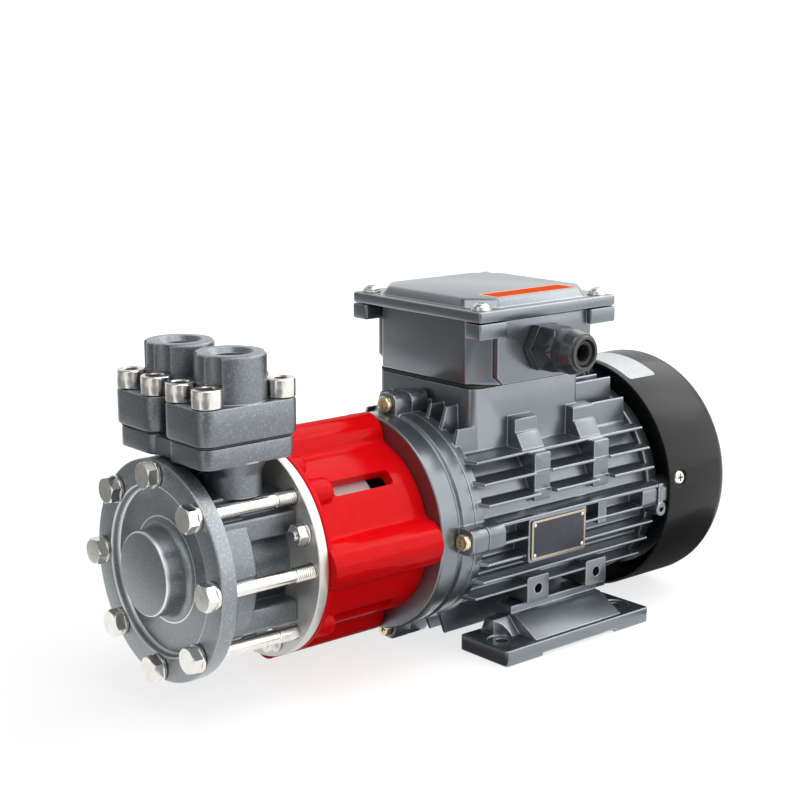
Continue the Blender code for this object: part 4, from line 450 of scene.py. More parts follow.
def red_enamel():
    """Stoving enamel sprayed on a sand casting: full gloss colour over a faint orange peel."""
    made, tree, shader, place = material(
        "red_stoving_enamel", "red_paint", 0.0, 0.42, Coat_Weight=0.18, Coat_Roughness=0.14,
        Specular_IOR_Level=0.0)
    peel = noise(tree, place, 1.4, 2)
    skin = noise(tree, place, 5, 4)
    height = add(tree, "ShaderNodeMath", {0: peel, 1: skin}, operation="ADD").outputs[0]
    feed(
        tree, shader, Base_Color=blend_colours(tree, spread(tree, skin, 0, 0.8), "#EC0A12", "#E20910"),
        Roughness=spread(tree, peel, 0.38, 0.5), Normal=relief(tree, height, 0.012, edge=1.1))
    return made


def motor_paint():
    """Metallic powder paint on die cast aluminium: a grey-blue sheen with a fine pebbled skin."""
    made, tree, shader, place = material(
        "metallic_powder_paint", "grey_motor_paint", 0.85, 0.32, Coat_Weight=0.7, Coat_Roughness=0.2)
    # Real flakes are about 0.05 mm across: they are drawn coarser so that they show
    flake = noise(tree, place, 0.35, 1)
    pebble = noise(tree, place, 1.1, 3)
    cloud = noise(tree, place, 30, 2)
    colour = blend_colours(tree, spread(tree, cloud, 0, 1), "#62686D", "#6C7277")
    colour = blend_colours(tree, spread(tree, flake, 0, 0.3), colour, "#8D959C")
    # Painted highlight: the pale colour along outer edges
    feed(
        tree, shader, Base_Color=edge_lit(tree, colour, "#C6CED4", 1.4),
        Roughness=spread(tree, pebble, 0.28, 0.4), Normal=relief(tree, pebble, 0.02, edge=0.5))
    return made


def cowl_paint():
    """Black paint on pressed steel: smooth and semi-gloss, with a slight ripple from the press."""
    made, tree, shader, place = material(
        "black_steel_paint", "black_steel_paint", 0.0, 0.32, Coat_Weight=0.1, Coat_Roughness=0.1,
        Specular_IOR_Level=0.15)
    ripple = noise(tree, place, 18, 2)
    peel = noise(tree, place, 0.8, 2)
    colour = blend_colours(tree, spread(tree, ripple, 0, 1), "#161717", "#1A1B1B")
    # Painted highlight: the grey colour along outer edges
    feed(
        tree, shader, Base_Color=edge_lit(tree, colour, "#6E7072", 0.5),
        Roughness=spread(tree, peel, 0.3, 0.36), Normal=relief(tree, ripple, 0.015, edge=0.4))
    return made


def plain_skin(name, slot, tones, roughness, grain, depth, metallic=0.0, edge=0.3, **shader_values):
    """Simple moulded, plated or pressed surface: two close tones and a grain of its own size and depth."""
    made, tree, shader, place = material(name, slot, metallic, roughness, **shader_values)
    grains = noise(tree, place, grain, 3)
    feed(
        tree, shader, Base_Color=blend_colours(tree, spread(tree, grains, 0, 1), *tones),
        Roughness=spread(tree, grains, roughness - 0.06, roughness + 0.08),
        Normal=relief(tree, grains, depth, edge=edge))
    return made


def bordered(name, slot, tones, low, high, margin, metallic, roughness, **shader_values):
    """Blank plate or label in a plane along X, given by two corners: its border's tone, then its face's."""
    made, tree, shader, place = material(name, slot, metallic, roughness, **shader_values)
    parts = add(tree, "ShaderNodeSeparateXYZ", {0: place})
    inside = None
    for axis in "XZ" if high[1] - low[1] < high[2] - low[2] else "XY":
        number = "XYZ".index(axis)
        middle = (low[number] + high[number]) / 2
        half = (high[number] - low[number]) / 2 - margin * MM
        links = {0: parts.outputs[axis], 1: middle}
        away = add(tree, "ShaderNodeMath", links, operation="SUBTRACT").outputs[0]
        away = add(tree, "ShaderNodeMath", {0: away}, operation="ABSOLUTE").outputs[0]
        within = add(tree, "ShaderNodeMath", {0: away, 1: half}, operation="LESS_THAN").outputs[0]
        if inside is None:
            inside = within
        else:
            inside = add(tree, "ShaderNodeMath", {0: inside, 1: within}, operation="MULTIPLY").outputs[0]
    wear = noise(tree, place, 3, 4)
    feed(
        tree, shader, Base_Color=blend_colours(tree, inside, *tones),
        Roughness=spread(tree, wear, roughness - 0.05, roughness + 0.1), Normal=relief(tree, wear, 0.002))
    return made


CAST = cast_steel("shot_blasted_cast_steel", light="#70757A", deep="#62676C", speck_and_highlight="#C3C8CC", lumpiness=0.055)
# The cover is blasted finer, and its dish and boss were faced on a lathe; thin bright rings at their edges
# are painted highlights
FACED = cast_steel(
    "fine_blasted_cast_steel", light="#83898D", deep="#7A8084", speck_and_highlight="#F0F3F5", lumpiness=0.012,
    rings=(20.7, 26.4, 41.5, 42.9))
BRIGHT = stainless()
TURNED = turned_steel()
RED = red_enamel()
PAINT = motor_paint()
COWL = cowl_paint()
# Zinc with a yellow passivation: a thin, smooth, pale gold metal
ZINC = plain_skin(
    "yellow_zinc_plating", "yellow_zinc", ("#DFD0AE", "#D3C29C"), roughness=0.2, grain=3.0, depth=0.001,
    metallic=1.0, edge=0.0)
# Moulded nylon with glass fibres: black with a soft shine
NYLON = plain_skin(
    "glass_filled_nylon", "black_nylon", ("#2B2E31", "#343638"), roughness=0.3, grain=0.7, depth=0.0015,
    edge=0.4, Coat_Weight=0.5, Coat_Roughness=0.12)
# Moulded rubber: black and dull
RUBBER = plain_skin(
    "nitrile_rubber", "black_rubber", ("#232424", "#2B2C2C"), roughness=0.6, grain=0.9, depth=0.01)
# Pressed fibre sheet: dark grey, dull and slightly felted
FIBRE = plain_skin(
    "compressed_fibre_sheet", "black_rubber", ("#5B5F63", "#505458"), roughness=0.6, grain=0.9, depth=0.01)
# Carbon bonded with resin: near black with a faint greasy sheen
GRAPHITE = plain_skin(
    "resin_bonded_carbon", "carbon_bush", ("#2B2B2C", "#353536"), roughness=0.5, grain=0.5, depth=0.004,
    metallic=0.1)
# Phenolic resin from a mould: dark grey, hard and half dull
MOULDING = plain_skin(
    "phenolic_moulding", "terminal_moulding", ("#55585A", "#616467"), roughness=0.48, grain=0.8, depth=0.008)
# Stainless sheet or bar drawn to shape: bright, with a slight pull in its surface
DRAWN = plain_skin(
    "deep_drawn_stainless", "stainless_steel", ("#DEDDD9", "#BFBDB8"), roughness=0.22, grain=4.0, depth=0.004,
    metallic=1.0)
# Magnet carrier: a near-white, barely metallic colour, a painted glint where it shows through the lantern's
# slots
CARRIER_GLINT = plain_skin(
    "carrier_painted_glint", "machined_steel", ("#F6F8F8", "#EFF2F2"), roughness=0.35, grain=6.0, depth=0.003,
    metallic=0.1)
# Varnished copper wire, wound close: reddish, with the wires' ribs
COPPER = plain_skin(
    "enamelled_copper_winding", "machined_steel", ("#B5653A", "#8E4B2A"), roughness=0.35, grain=0.9,
    depth=0.05, metallic=0.9)
# White film with a matt face
WHITE_VINYL = plain_skin(
    "white_vinyl", "aluminium_plate", ("#CFD3D4", "#C8CCCD"), roughness=0.45, grain=6.0, depth=0.004)


# Pump end

FLANGE_RADIUS = (COVER_HIGH.z - COVER_LOW.z) / 2 / MM
COVER_FRONT = -133.0
COVER_REAR = -124.3
BOSS_FACE = -141.2
CASING_FRONT = -124.0
RING_FRONT = -76.4
RING_REAR = -70.7
SEAT = 0.3          # the solids leave this gap where two pieces rest on each other
TIE_CIRCLE = 48.7
TIE_ANGLES = angles(8)
STUD_CIRCLE = 47.0
STUD_ANGLES = angles(4, math.radians(22.5))
M8_SHANK = 3.45     # radius, reduced as on a rolled bolt
M8_THREAD = 3.9
M8_PITCH = 1.25
PORT_X = -102.7
PORT_Y = 21.8
PORT_PLATE_TOP = 84.9
PORT_TOP = 107.8
PORT_BORE = 6.2
PORT_CREST = 9.3    # radius at the pipe thread's crests
PORT_ROOT = 10.3
PORT_PITCH = 1.814
PORT_SCREW_X = 21.15
PORT_SCREW_Y = 10.95


def thread(radius, depth, pitch, start, end, segments=24):
    """Outside screw thread as a helical rib round a core, along X."""
    turns = max(1, int((end - start) / pitch) - 1)
    root = radius - depth
    core = lathe([(start, 0), (start, root), (end - 0.6, root), (end, root - 0.6), (end, 0)], segments)
    rib = bmesh.new()
    foot = radius - depth * 1.3
    corners = [(start + 0.1 * pitch, foot), (start + 0.5 * pitch, radius), (start + 0.9 * pitch, foot)]
    verts = [rib.verts.new((station, 0, -r)) for station, r in corners]
    face = rib.faces.new(verts)
    bmesh.ops.spin(
        rib, geom=[face] + list(face.edges) + verts, cent=(0, 0, 0), axis=(1, 0, 0),
        dvec=(pitch / segments, 0, 0), angle=FULL_TURN * turns, steps=segments * turns, use_merge=False,
        use_duplicate=False)
    bmesh.ops.recalc_face_normals(rib, faces=rib.faces)
    return gather([core, rib])


def hexagon(corner, start, end, chamfer=0.9):
    """Hexagon along X with the rounded corners that its turned chamfer leaves on the start face."""
    clear = corner * 1.01
    cone = lathe([(start, 0), (start, corner * 0.86), (start + chamfer, clear), (end, clear), (end, 0)], 48)
    return shared(bar(corner, start, end, segments=6), cone)


def make_cover():
    """Front cover: a dished casting with a round centre boss and a drilled rim."""
    dish = COVER_FRONT + 4.5
    body = lathe([
        (BOSS_FACE, 0), (BOSS_FACE, 20.9, 1.2), (dish, 22.4, 3.4), (dish, 41.4, 1.2),
        (COVER_FRONT, 42.8, 0.5), (COVER_FRONT, FLANGE_RADIUS, 0.9), (COVER_REAR, FLANGE_RADIUS, 0.7),
        (COVER_REAR, 9.3), (-135.8, 9.3), (-135.8, 0)], 160)
    holes = gather(bars_around(TIE_CIRCLE, TIE_ANGLES, 4.1, COVER_FRONT - 2, COVER_REAR + 2))
    piece(carved(body, holes), "front_cover_casting", FACED, "front_cover")


def make_tie_bolts():
    """Hex bolts: chamfered head, washer, plain shank and a rolled thread behind the ring."""
    seat = COVER_FRONT - SEAT
    washer = seat - 1.9
    shank_end = -88.1
    head = hexagon(7.1, washer - 5.0, washer + 0.05)
    disc = lathe([(washer, 0), (washer, 6.9, 0.35), (seat, 6.9, 0.3), (seat, 0)], 48)
    shank = lathe([
        (washer - 0.5, 0), (washer - 0.5, M8_SHANK), (shank_end - 0.4, M8_SHANK, 0.4),
        (shank_end, M8_SHANK - 0.4), (shank_end, 0)], 32)
    threaded = thread(M8_THREAD, 0.62, M8_PITCH, shank_end - 0.3, -71.3)
    bolt = gather([head, disc, shank, threaded])
    places = [
        Matrix.Translation(around(TIE_CIRCLE, angle)) @ Matrix.Rotation(-angle, 4, "X")
        for angle in TIE_ANGLES]
    numbered_pieces(bolt, places, "hex_bolt", BRIGHT, "tie_bolt")


def make_casing():
    """Pump casing: band and barrel, side ribs, and two necks that carry the lower port flanges."""
    front, rear = CASING_FRONT + 0.4, RING_FRONT - 0.4
    shapes = [
        block((front, side * 30.0 - 6.9, low), (rear, side * 30.0 + 6.9, low + 11.5), 1.4, "X", 0.3)
        for side in (-1, 1) for low in (17.0, -28.5)]
    for side in (-1, 1):
        middle = side * PORT_Y
        neck_foot = block(
            (CASING_FRONT + 0.6, middle - 8.1, 20), (RING_FRONT - 0.5, middle + 8.1, 36.4), 1.2, "X")
        shoulder = block((CASING_FRONT + 0.8, middle - 7.8, 21), (-91.0, middle + 7.8, 39.0), 1.2, "Z")
        neck = lathe([
            (38.6, 0), (38.6, 13.75), (49.5, 13.75, 5), (56.4, 17.2), (56.4, 0)],
            64, "Z", (PORT_X, middle, 0))
        flange = block(
            (PORT_X - 27, middle - 16.75, 55.8), (PORT_X + 27, middle + 16.75, 66.0), 6.4, "Z", 0.9)
        shapes += [neck_foot, shoulder, neck, flange]
    shapes.append(block((PORT_X - 25, -9, 56.6), (PORT_X + 25, 9, 65.3), edge=0.4))
    body = lathe([
        (CASING_FRONT, 0), (CASING_FRONT, 44.6, 0.8), (-105.1, 44.6, 1.8), (-104.4, 31.0, 2.5),
        (RING_FRONT - SEAT, 31.0), (RING_FRONT - SEAT, 0)], 128)
    body = joined(body, *shapes)
    chamber = lathe([
        (CASING_FRONT - 1, 0), (CASING_FRONT - 1, 37.3), (-112.5, 37.3), (-112.5, 10.3), (-100.0, 10.3),
        (-100.0, 25.0), (RING_FRONT + 1, 25.0), (RING_FRONT + 1, 0)], 96)
    groove = lathe([(-126, 39.1), (-126, 42.3), (-121.4, 42.3), (-121.4, 39.1)], 96)
    passages = gather([bar(PORT_BORE, 25, 67, "Z", (PORT_X, side * PORT_Y, 0), 32) for side in (-1, 1)])
    screw_holes = gather([
        bar(4.3, 57.0, 67, "Z", (x, y, 0), 24) for side in (-1, 1) for x, y in port_screw_places(side)])
    piece(carved(body, chamber, groove, passages, screw_holes), "casing_casting", CAST, "pump_casing")


def port_screw_places(side):
    """Where the four screws of one port flange stand."""
    return [
        (PORT_X + along * PORT_SCREW_X, side * PORT_Y + across * PORT_SCREW_Y)
        for along in (-1, 1) for across in (-1, 1)]


def make_port_flanges():
    """Port flanges: a thick plate and a round boss, fluted where the screw heads stand beside it."""
    for side, name in ((-1, "inlet"), (1, "outlet")):
        low, high = drawn(f"{name}_flange")
        centre = (PORT_X, side * PORT_Y, 0)
        screws = port_screw_places(side)
        plate = block((low.x, low.y, low.z), (high.x, high.y, PORT_PLATE_TOP), 7.4, "Z", 1.3, 8)
        boss = lathe([
            (PORT_PLATE_TOP - 4, 0), (PORT_PLATE_TOP - 4, 17.5), (PORT_TOP, 17.5, 1.6), (PORT_TOP, 0)],
            96, "Z", centre)
        flutes = gather([bar(8.3, PORT_PLATE_TOP - 5, PORT_TOP + 2, "Z", (x, y, 0), 48) for x, y in screws])
        body = joined(plate, carved(boss, flutes))
        grooves = []
        for turn in range(7):
            crest = PORT_TOP - 2.8 - PORT_PITCH * turn
            grooves += [
                (crest, PORT_CREST), (crest - PORT_PITCH * 0.45, PORT_ROOT),
                (crest - PORT_PITCH * 0.55, PORT_ROOT)]
        bore = lathe([
            (PORT_TOP + 1, 0), (PORT_TOP + 1, 12.3), (PORT_TOP, 11.5), (PORT_TOP - 1.6, PORT_ROOT), *grooves,
            (PORT_TOP - 16, PORT_CREST), (PORT_TOP - 16, PORT_BORE), (low.z - 1, PORT_BORE), (low.z - 1, 0)],
            72, "Z", centre)
        holes = gather([bar(4.5, low.z - 1, PORT_PLATE_TOP + 1, "Z", (x, y, 0), 24) for x, y in screws])
        piece(carved(body, bore, holes), f"{name}_flange_casting", CAST, f"{name}_flange")


def make_port_gaskets():
    """Flat sheet gaskets under the port flanges."""
    for name in ("inlet", "outlet"):
        low, high = drawn(f"{name}_gasket")
        piece(block(low, high, 6.2, "Z", 0.12), f"{name}_gasket_sheet", FIBRE, f"{name}_gasket")


def make_port_screws():
    """Socket head cap screws with a plain turned head, chamfered round its hexagon socket."""
    height = 9.3
    head = lathe([
        (SEAT, 0), (SEAT, 7.3, 0.4), (height, 7.3, 1.0), (height, 4.6, 0.3), (height - 0.5, 4.0),
        (height - 0.5, 0)], 64, "Z")
    socket = bar(3.6, height - 4.2, height + 1, "Z", segments=6)
    shank = bar(4.0, -26.3, 0.6, "Z", segments=24)
    screw = gather([carved(head, socket), shank])
    places = [
        Matrix.Translation((x, y, PORT_PLATE_TOP)) @ Matrix.Rotation(number * 0.7, 4, "Z")
        for number, (x, y) in enumerate(port_screw_places(-1) + port_screw_places(1))]
    numbered_pieces(screw, places, "cap_screw", BRIGHT, "port_screw")


def make_ring():
    """Adapter ring: turned all over, with the tie bolts in its tapped holes."""
    body = lathe([
        (RING_FRONT, 30.3), (RING_FRONT, FLANGE_RADIUS, 0.6), (RING_REAR, FLANGE_RADIUS, 0.6),
        (RING_REAR, 26.6), (-73.9, 26.6), (-73.9, 30.3)], 192)
    start, end = RING_FRONT - 1, RING_REAR + 1
    tie_holes = bars_around(TIE_CIRCLE, TIE_ANGLES, 4.25, start, end, 24)
    stud_holes = bars_around(STUD_CIRCLE, STUD_ANGLES, 3.3, start, end, 24)
    piece(carved(body, gather(tie_holes + stud_holes)), "turned_ring", TURNED, "adapter_ring")


def make_ring_nuts():
    """Hex nuts on studs that hold the ring to the lantern."""
    seat = RING_FRONT - SEAT
    washer = seat - 1.2
    stud_end = -67.8
    nut = hexagon(5.6, washer - 5.0, washer + 0.05, 0.7)
    disc = lathe([(washer, 0), (washer, 6.0, 0.25), (seat, 6.0, 0.2), (seat, 0)], 40)
    stud = lathe([
        (washer - 6.2, 0), (washer - 6.2, 2.2), (washer - 5.6, 3.0), (stud_end, 3.0), (stud_end, 0)], 24)
    fastener = gather([nut, disc, stud])
    places = [
        Matrix.Translation(around(STUD_CIRCLE, angle)) @ Matrix.Rotation(0.4 - angle, 4, "X")
        for angle in STUD_ANGLES]
    numbered_pieces(fastener, places, "stud_nut", BRIGHT, "ring_nut")


# Lantern

LANTERN_RADIUS = 47.8
TUNNEL_RADIUS = 12.3
TUNNEL_CIRCLE = 47.7
TUNNEL_FILLET = 3.4


def arc(centre, radius, start, end, steps):
    """Points on an arc about a centre, from one angle to another."""
    turns = [start + (end - start) * step / steps for step in range(steps + 1)]
    return [Vector(centre) + radius * Vector((math.cos(turn), math.sin(turn))) for turn in turns]


def lobed_outline():
    """Barrel with four round lobes, blended by fillets that touch both circles."""
    reach = LANTERN_RADIUS + TUNNEL_FILLET
    apart = TUNNEL_RADIUS + TUNNEL_FILLET
    turn = math.acos((reach ** 2 + TUNNEL_CIRCLE ** 2 - apart ** 2) / (2 * reach * TUNNEL_CIRCLE))
    centre = Vector((reach * math.cos(turn), reach * math.sin(turn)))
    lean = math.atan2(centre.y, centre.x - TUNNEL_CIRCLE)
    points = []
    for quarter in range(4):
        base = quarter * QUARTER
        following = base + QUARTER
        spin = Matrix.Rotation(base, 2)
        lobe = spin @ Vector((TUNNEL_CIRCLE, 0))
        points += arc(lobe, TUNNEL_RADIUS, base - lean, base + lean, 24)[1:-1]
        points += arc(spin @ centre, TUNNEL_FILLET, base + lean + math.pi, base + turn + math.pi, 5)
        points += arc((0, 0), LANTERN_RADIUS, base + turn, following - turn, 20)[1:-1]
        mirrored = Matrix.Rotation(following, 2) @ Vector((centre.x, -centre.y))
        points += arc(
            mirrored, TUNNEL_FILLET, following - turn + math.pi, following - lean + math.pi, 5)
    return points


def domed_bar(radius, circle, angle, start, end, rounding):
    """Round boss along X whose far end is domed."""
    shape = bar(radius, start, end, centre=around(circle, angle), segments=40)
    return soften(shape, rounding, 5, lambda edge: min(v.co.x for v in edge.verts) > end - 0.01)


def make_lantern():
    """Lantern: red cast barrel with four bolt tunnels, a rim, rim bosses and four slots."""
    front, rear = RING_REAR + SEAT, 0.0
    barrel = prism(lobed_outline(), front + 0.5, rear, fillets=False)

    def on_a_lobes_rear_edge(edge):
        stations = [vert.co.x for vert in edge.verts]
        reaches = [vert.co.yz.length for vert in edge.verts]
        return min(stations) > rear - 0.01 and min(reaches) > 50.5

    soften(barrel, 4.0, 5, on_a_lobes_rear_edge, 20)
    rim = lathe([
        (front, 0), (front, FLANGE_RADIUS, 0.5), (front + 3.0, FLANGE_RADIUS, 0.7), (front + 3.0, 51.5, 1.0),
        (front + 6.5, 47.0), (front + 6.5, 0)], 160)
    corners = angles(4, QUARTER / 2)
    bosses = [domed_bar(7.0, TUNNEL_CIRCLE, angle, front + 0.5, -54.2, 3.2) for angle in corners]
    bosses += [
        domed_bar(5.0, TUNNEL_CIRCLE, math.radians(angle), front + 0.5, -58.2, 2.6)
        for angle in (67.5, 112.5)]
    body = joined(barrel, rim, *bosses)
    bore = lathe([
        (front - 1, 0), (front - 1, 41.5), (-7.0, 41.5), (-7.0, 35.3), (rear + 1, 35.3), (rear + 1, 0)], 96)
    slots = gather([
        turned_about_shaft(block((-52.5, -60.3, -4.25), (-13.4, -33.5, 4.25), 2.8, "Y"), angle)
        for angle in corners])
    studs = gather(bars_around(STUD_CIRCLE, STUD_ANGLES, 3.3, front - 1, -67.5, 24))
    piece(carved(body, bore, slots, studs), "red_lantern_casting", RED, "lantern", smooth=40)


def make_magnet_rotors():
    """Outer and inner magnet rotors: plain turned carriers."""
    bore = 7.3
    outer = lathe([
        (-66.0, 28.0), (-66.0, 38.0, 0.8), (-20.5, 38.0, 0.8), (-20.5, 15.5, 1.5), (-4.0, 14.0, 0.6),
        (-4.0, bore), (-31.0, bore), (-31.0, 28.0)], 96)
    piece(outer, "outer_magnet_carrier", CARRIER_GLINT, "outer_magnet_rotor", DRIVE)
    inner = lathe([(-71.0, 6.3), (-71.0, 24.2, 0.8), (-40.0, 24.2, 0.8), (-40.0, 6.3)], 72)
    piece(inner, "inner_magnet_carrier", DRAWN, "inner_magnet_rotor", PUMP_ROTOR)


# Motor

SEAM = 23.7
HOUSING_FRONT = 24.0
HOUSING_REAR = 158.0
LUG_ANGLES = angles(4)
SHIELD_SCREW_CIRCLE = 62.5
FIN_PITCH = 10.6
FIN_ROOT = 55.0
FIN_RADIUS = 64.5
FIN_FLAT = 63.0
FIN_FOOT = 1.3      # half thickness at the root
FIN_TIP = 0.85      # half thickness at the tip
PEDESTAL_TOP = 72.5
PAD_STARTS = (67.2, 113.2)
BOX_X = 82.6        # middle of the terminal box
WIRE_HOLE = 12.0


def lug(start, end, reach, root, width=14.0, edge=0.8):
    """Screw lug on top of the shaft, rounded at its outer corners."""
    shape = block((start, -width / 2, root), (end, width / 2, reach))

    def runs_along_the_top(side):
        first, second = (vert.co for vert in side.verts)
        return min(first.z, second.z) > reach - 0.01 and abs(first.x - second.x) > 1

    soften(shape, 4.6, 6, runs_along_the_top)
    return soften(shape, edge, 2, lambda side: min(v.co.z for v in side.verts) > root + 0.1)


def lugs(start, end, reach, **sizes):
    """Four lugs round the shaft."""
    return [turned_about_shaft(lug(start, end, reach, **sizes), angle - QUARTER) for angle in LUG_ANGLES]


def make_front_shield():
    """Drive end shield: collar, groove and rim, with four screw lugs."""
    body = lathe([
        (-2.2, 8.2), (-2.2, 35.0, 0.3), (0.3, 35.0), (0.3, 58.5, 1.0), (12.3, 57.7, 0.8), (14.2, 56.3, 0.7),
        (16.0, 57.9, 0.5), (SEAM, 58.0, 0.3), (SEAM, 51.2), (26.7, 51.2), (26.7, 48.0), (9.0, 42.0),
        (9.0, 23.0), (20.0, 21.5), (20.0, 17.8), (8.7, 17.8), (8.7, 8.2)], 160)
    body = joined(body, *lugs(12.5, SEAM, 68.5, root=51.5))
    holes = gather(bars_around(SHIELD_SCREW_CIRCLE, LUG_ANGLES, 2.7, 11, 25, 24))
    piece(carved(body, holes), "drive_end_shield_casting", PAINT, "front_endshield")


def make_shield_screws():
    """Cross-recessed pan head screws, with a plain washer."""
    seat = 12.2
    washer = seat - 0.9
    head = lathe([(seat - 2.9, 0), (seat - 2.9, 4.5, 1.9), (washer, 4.6, 0.2), (washer, 0)], 40)
    recess = cross_slots("X", seat - 4, seat - 1.7, 0.55, 2.2)
    disc = lathe([(washer, 0), (washer, 4.6, 0.15), (seat, 4.6), (seat, 0)], 40)
    shank = bar(2.2, seat - 1, 31.7, segments=20)
    screw = gather([carved(head, *recess), disc, shank])
    places = [
        Matrix.Translation(around(SHIELD_SCREW_CIRCLE, angle)) @ Matrix.Rotation(0.5 + number, 4, "X")
        for number, angle in enumerate(LUG_ANGLES)]
    numbered_pieces(screw, places, "pan_head_screw", ZINC, "endshield_screw")


def finned_outline():
    """Housing section: level fins at the sides and upright ones above and below, drafted and round-tipped."""
    points = []
    for quarter in range(4):
        spin = Matrix.Rotation(quarter * QUARTER, 2)
        for step in range(-4, 4):
            offset = FIN_PITCH * (step + 0.5)
            inner_fin = abs(offset) < FIN_PITCH * 3
            if quarter == 3 and not inner_fin:
                continue
            flat = quarter in (1, 3) and inner_fin
            tip = FIN_FLAT if flat else math.sqrt(FIN_RADIUS ** 2 - offset ** 2)
            for side in (-1, 1):
                low = offset + side * FIN_FOOT
                foot = Vector((math.sqrt(FIN_ROOT ** 2 - low ** 2), low))
                end = Vector((tip, offset + side * FIN_TIP))
                flank = [(foot, 1.4), (end, 0.8)]
                if side > 0:
                    flank.reverse()
                points += [(*(spin @ point), radius) for point, radius in flank]
    return points


def side_block(side, low, high, *args, **sizes):
    """Block given for the far side (+Y), and set on the near side where side is -1."""
    shape = block(low, high, *args, **sizes)
    if side < 0:
        bmesh.ops.scale(shape, vec=(1, -1, 1), verts=shape.verts)
        bmesh.ops.recalc_face_normals(shape, faces=shape.faces)
    return shape


def side_prism(side, points, start, end, edge):
    """Softened prism along X, given for the far side (+Y), and set on the near side where side is -1."""
    return soften(prism([(side * point[0], *point[1:]) for point in points], start, end), edge)


def make_housing():
    """Finned motor housing with its pedestal, pads, lugs and front band."""
    front, rear = HOUSING_FRONT, HOUSING_REAR
    body = prism(finned_outline(), front + 1.5, rear)
    # A cone outside the fins leaves their front ends sloped
    nose = lathe([
        (front - 10, 0), (front - 10, 100), (rear + 10, 100), (rear + 10, 75), (front + 9.5, 75),
        (front + 1.5, FIN_ROOT - 1), (front + 1.5, 0)], 96)
    body = carved(body, nose)
    band = lathe([
        (front, 0), (front, 58.0, 0.3), (front + 6.5, 58.0, 1.0), (front + 8.0, 54.5), (front + 8.0, 0)], 160)
    pedestal = block((BOX_X - 44, -38.5, 30), (BOX_X + 38, 38.5, PEDESTAL_TOP), 5, "Z", 0.5)
    shapes = [band, pedestal]
    shapes += lugs(front + 0.02, front + 12, 68.4, root=48.0)
    shapes += lugs(rear - 12, rear - 0.05, 65.4, root=48.0)
    gaps = []
    for side in (-1, 1):
        for x in PAD_STARTS:
            shapes.append(side_block(side, (x, 34.0, -47.8), (x + 16.6, 53.5, -32.8), 1.6, "Y", 0.5))
            shapes.append(side_block(side, (x + 0.3, 40.5, 10.8), (x + 12.2, 57.2, 36.9), 1.0, "Y", 0.4))
            gaps.append(side_block(side, (x, 57.4, 10.5), (x + 12.5, 72.0, 37.2)))
        for x in (64.8, 109.6):
            bracket = [
                (36.5, 55.2), (44.5, 54.2, 1.2), (44.5, 46.5, 0.5), (45.5, 46.5, 0.5), (50.9, 37.5, 1.0),
                (36.5, 35.5)]
            shapes.append(side_prism(side, bracket, x, x + 16.5, 0.6))
        shapes.append(side_block(side, (front + 10.8, 52.5, 5.0), (rear - 0.5, 66.8, 6.8), edge=0.5))
    shapes.append(block((110.8, -64.0, -8.3), (117.4, -52.5, 5.6), 0.8, "Y", 0.4))
    body = carved(body, gather(gaps))
    low, high = drawn("nameplate")
    plate_bed = block(
        (low.x - 1.4, low.y + 1.2, low.z - 1.4), (high.x + 1.4, -50, high.z + 1.4), 1.5, "Y", 0.4)
    body = joined(body, *shapes, plate_bed)
    bore = bar(51.5, front - 1, rear + 1, segments=96)
    wires = bar(WIRE_HOLE, 40, PEDESTAL_TOP + 1, "Z", (BOX_X, 0, 0), 48)
    holes = bars_around(SHIELD_SCREW_CIRCLE, LUG_ANGLES, 2.5, front - 1, 32.7, 16)
    for side in (-1, 1):
        for x in PAD_STARTS:
            start, end = sorted((side * 44, side * 55))
            holes.append(bar(2.8, start, end, "Y", (x + 8.3, 0, -40.3), 32))
    piece(carved(body, bore, wires, gather(holes)), "finned_housing_casting", PAINT, "motor_housing")


def make_rear_shield():
    """Non-drive end shield, mostly under the cowl."""
    body = lathe([
        (155.3, 47.5), (155.3, 51.2), (158.3, 51.2), (158.3, 58.0, 0.8), (167.0, 58.0, 2.0),
        (167.0, 24.0, 1.5), (176.6, 21.5), (176.6, 8.2), (173.6, 8.2), (173.6, 17.8), (162.0, 17.8),
        (162.0, 21.5), (161.8, 45.0)], 128)
    shapes = lugs(161.6, 181.4, 66.3, root=53.0, edge=0.5)
    shapes += lugs(158.8, 162.6, 62.0, root=52.0, width=12.0, edge=0.5)
    shapes.append(block((158.7, -66.0, -8.0), (163.0, -55.0, 6.6), edge=0.5))
    shapes.append(lathe([
        (55, 0), (55, 4.1), (66.4, 4.1, 0.5), (66.4, 1.9, 0.3), (62, 1.9), (62, 0)], 32, "-Y",
        (161.2, 0, -8.4)))
    piece(joined(body, *shapes), "non_drive_end_shield_casting", PAINT, "rear_endshield")


def make_fan():
    """Moulded nylon fan: hub, back plate and straight blades with rounded tips."""
    low, high = drawn("fan")
    plate = low.x + 2
    body = lathe([
        (low.x, 6.3), (low.x, 59.0, 0.6), (plate, 59.0, 0.6), (plate, 12.5, 1.5), (high.x, 11.0, 0.6),
        (high.x, 6.3)], 96)
    blades = [
        turned_about_shaft(block((plate - 0.5, -0.9, 10.5), (high.x - 0.1, 0.9, 58.2), 3.0, "Y", 0.3), -angle)
        for angle in angles(8)]
    piece(joined(body, *blades), "moulded_fan", NYLON, "fan", DRIVE)


COWL_FRONT = 165.6
COWL_REAR = 218.6
COWL_RADIUS = 68.6
COWL_SCREW_X = 174.6
COWL_SCREW_ANGLES = angles(4, math.radians(6.8))
LABEL_LIFT = 0.05


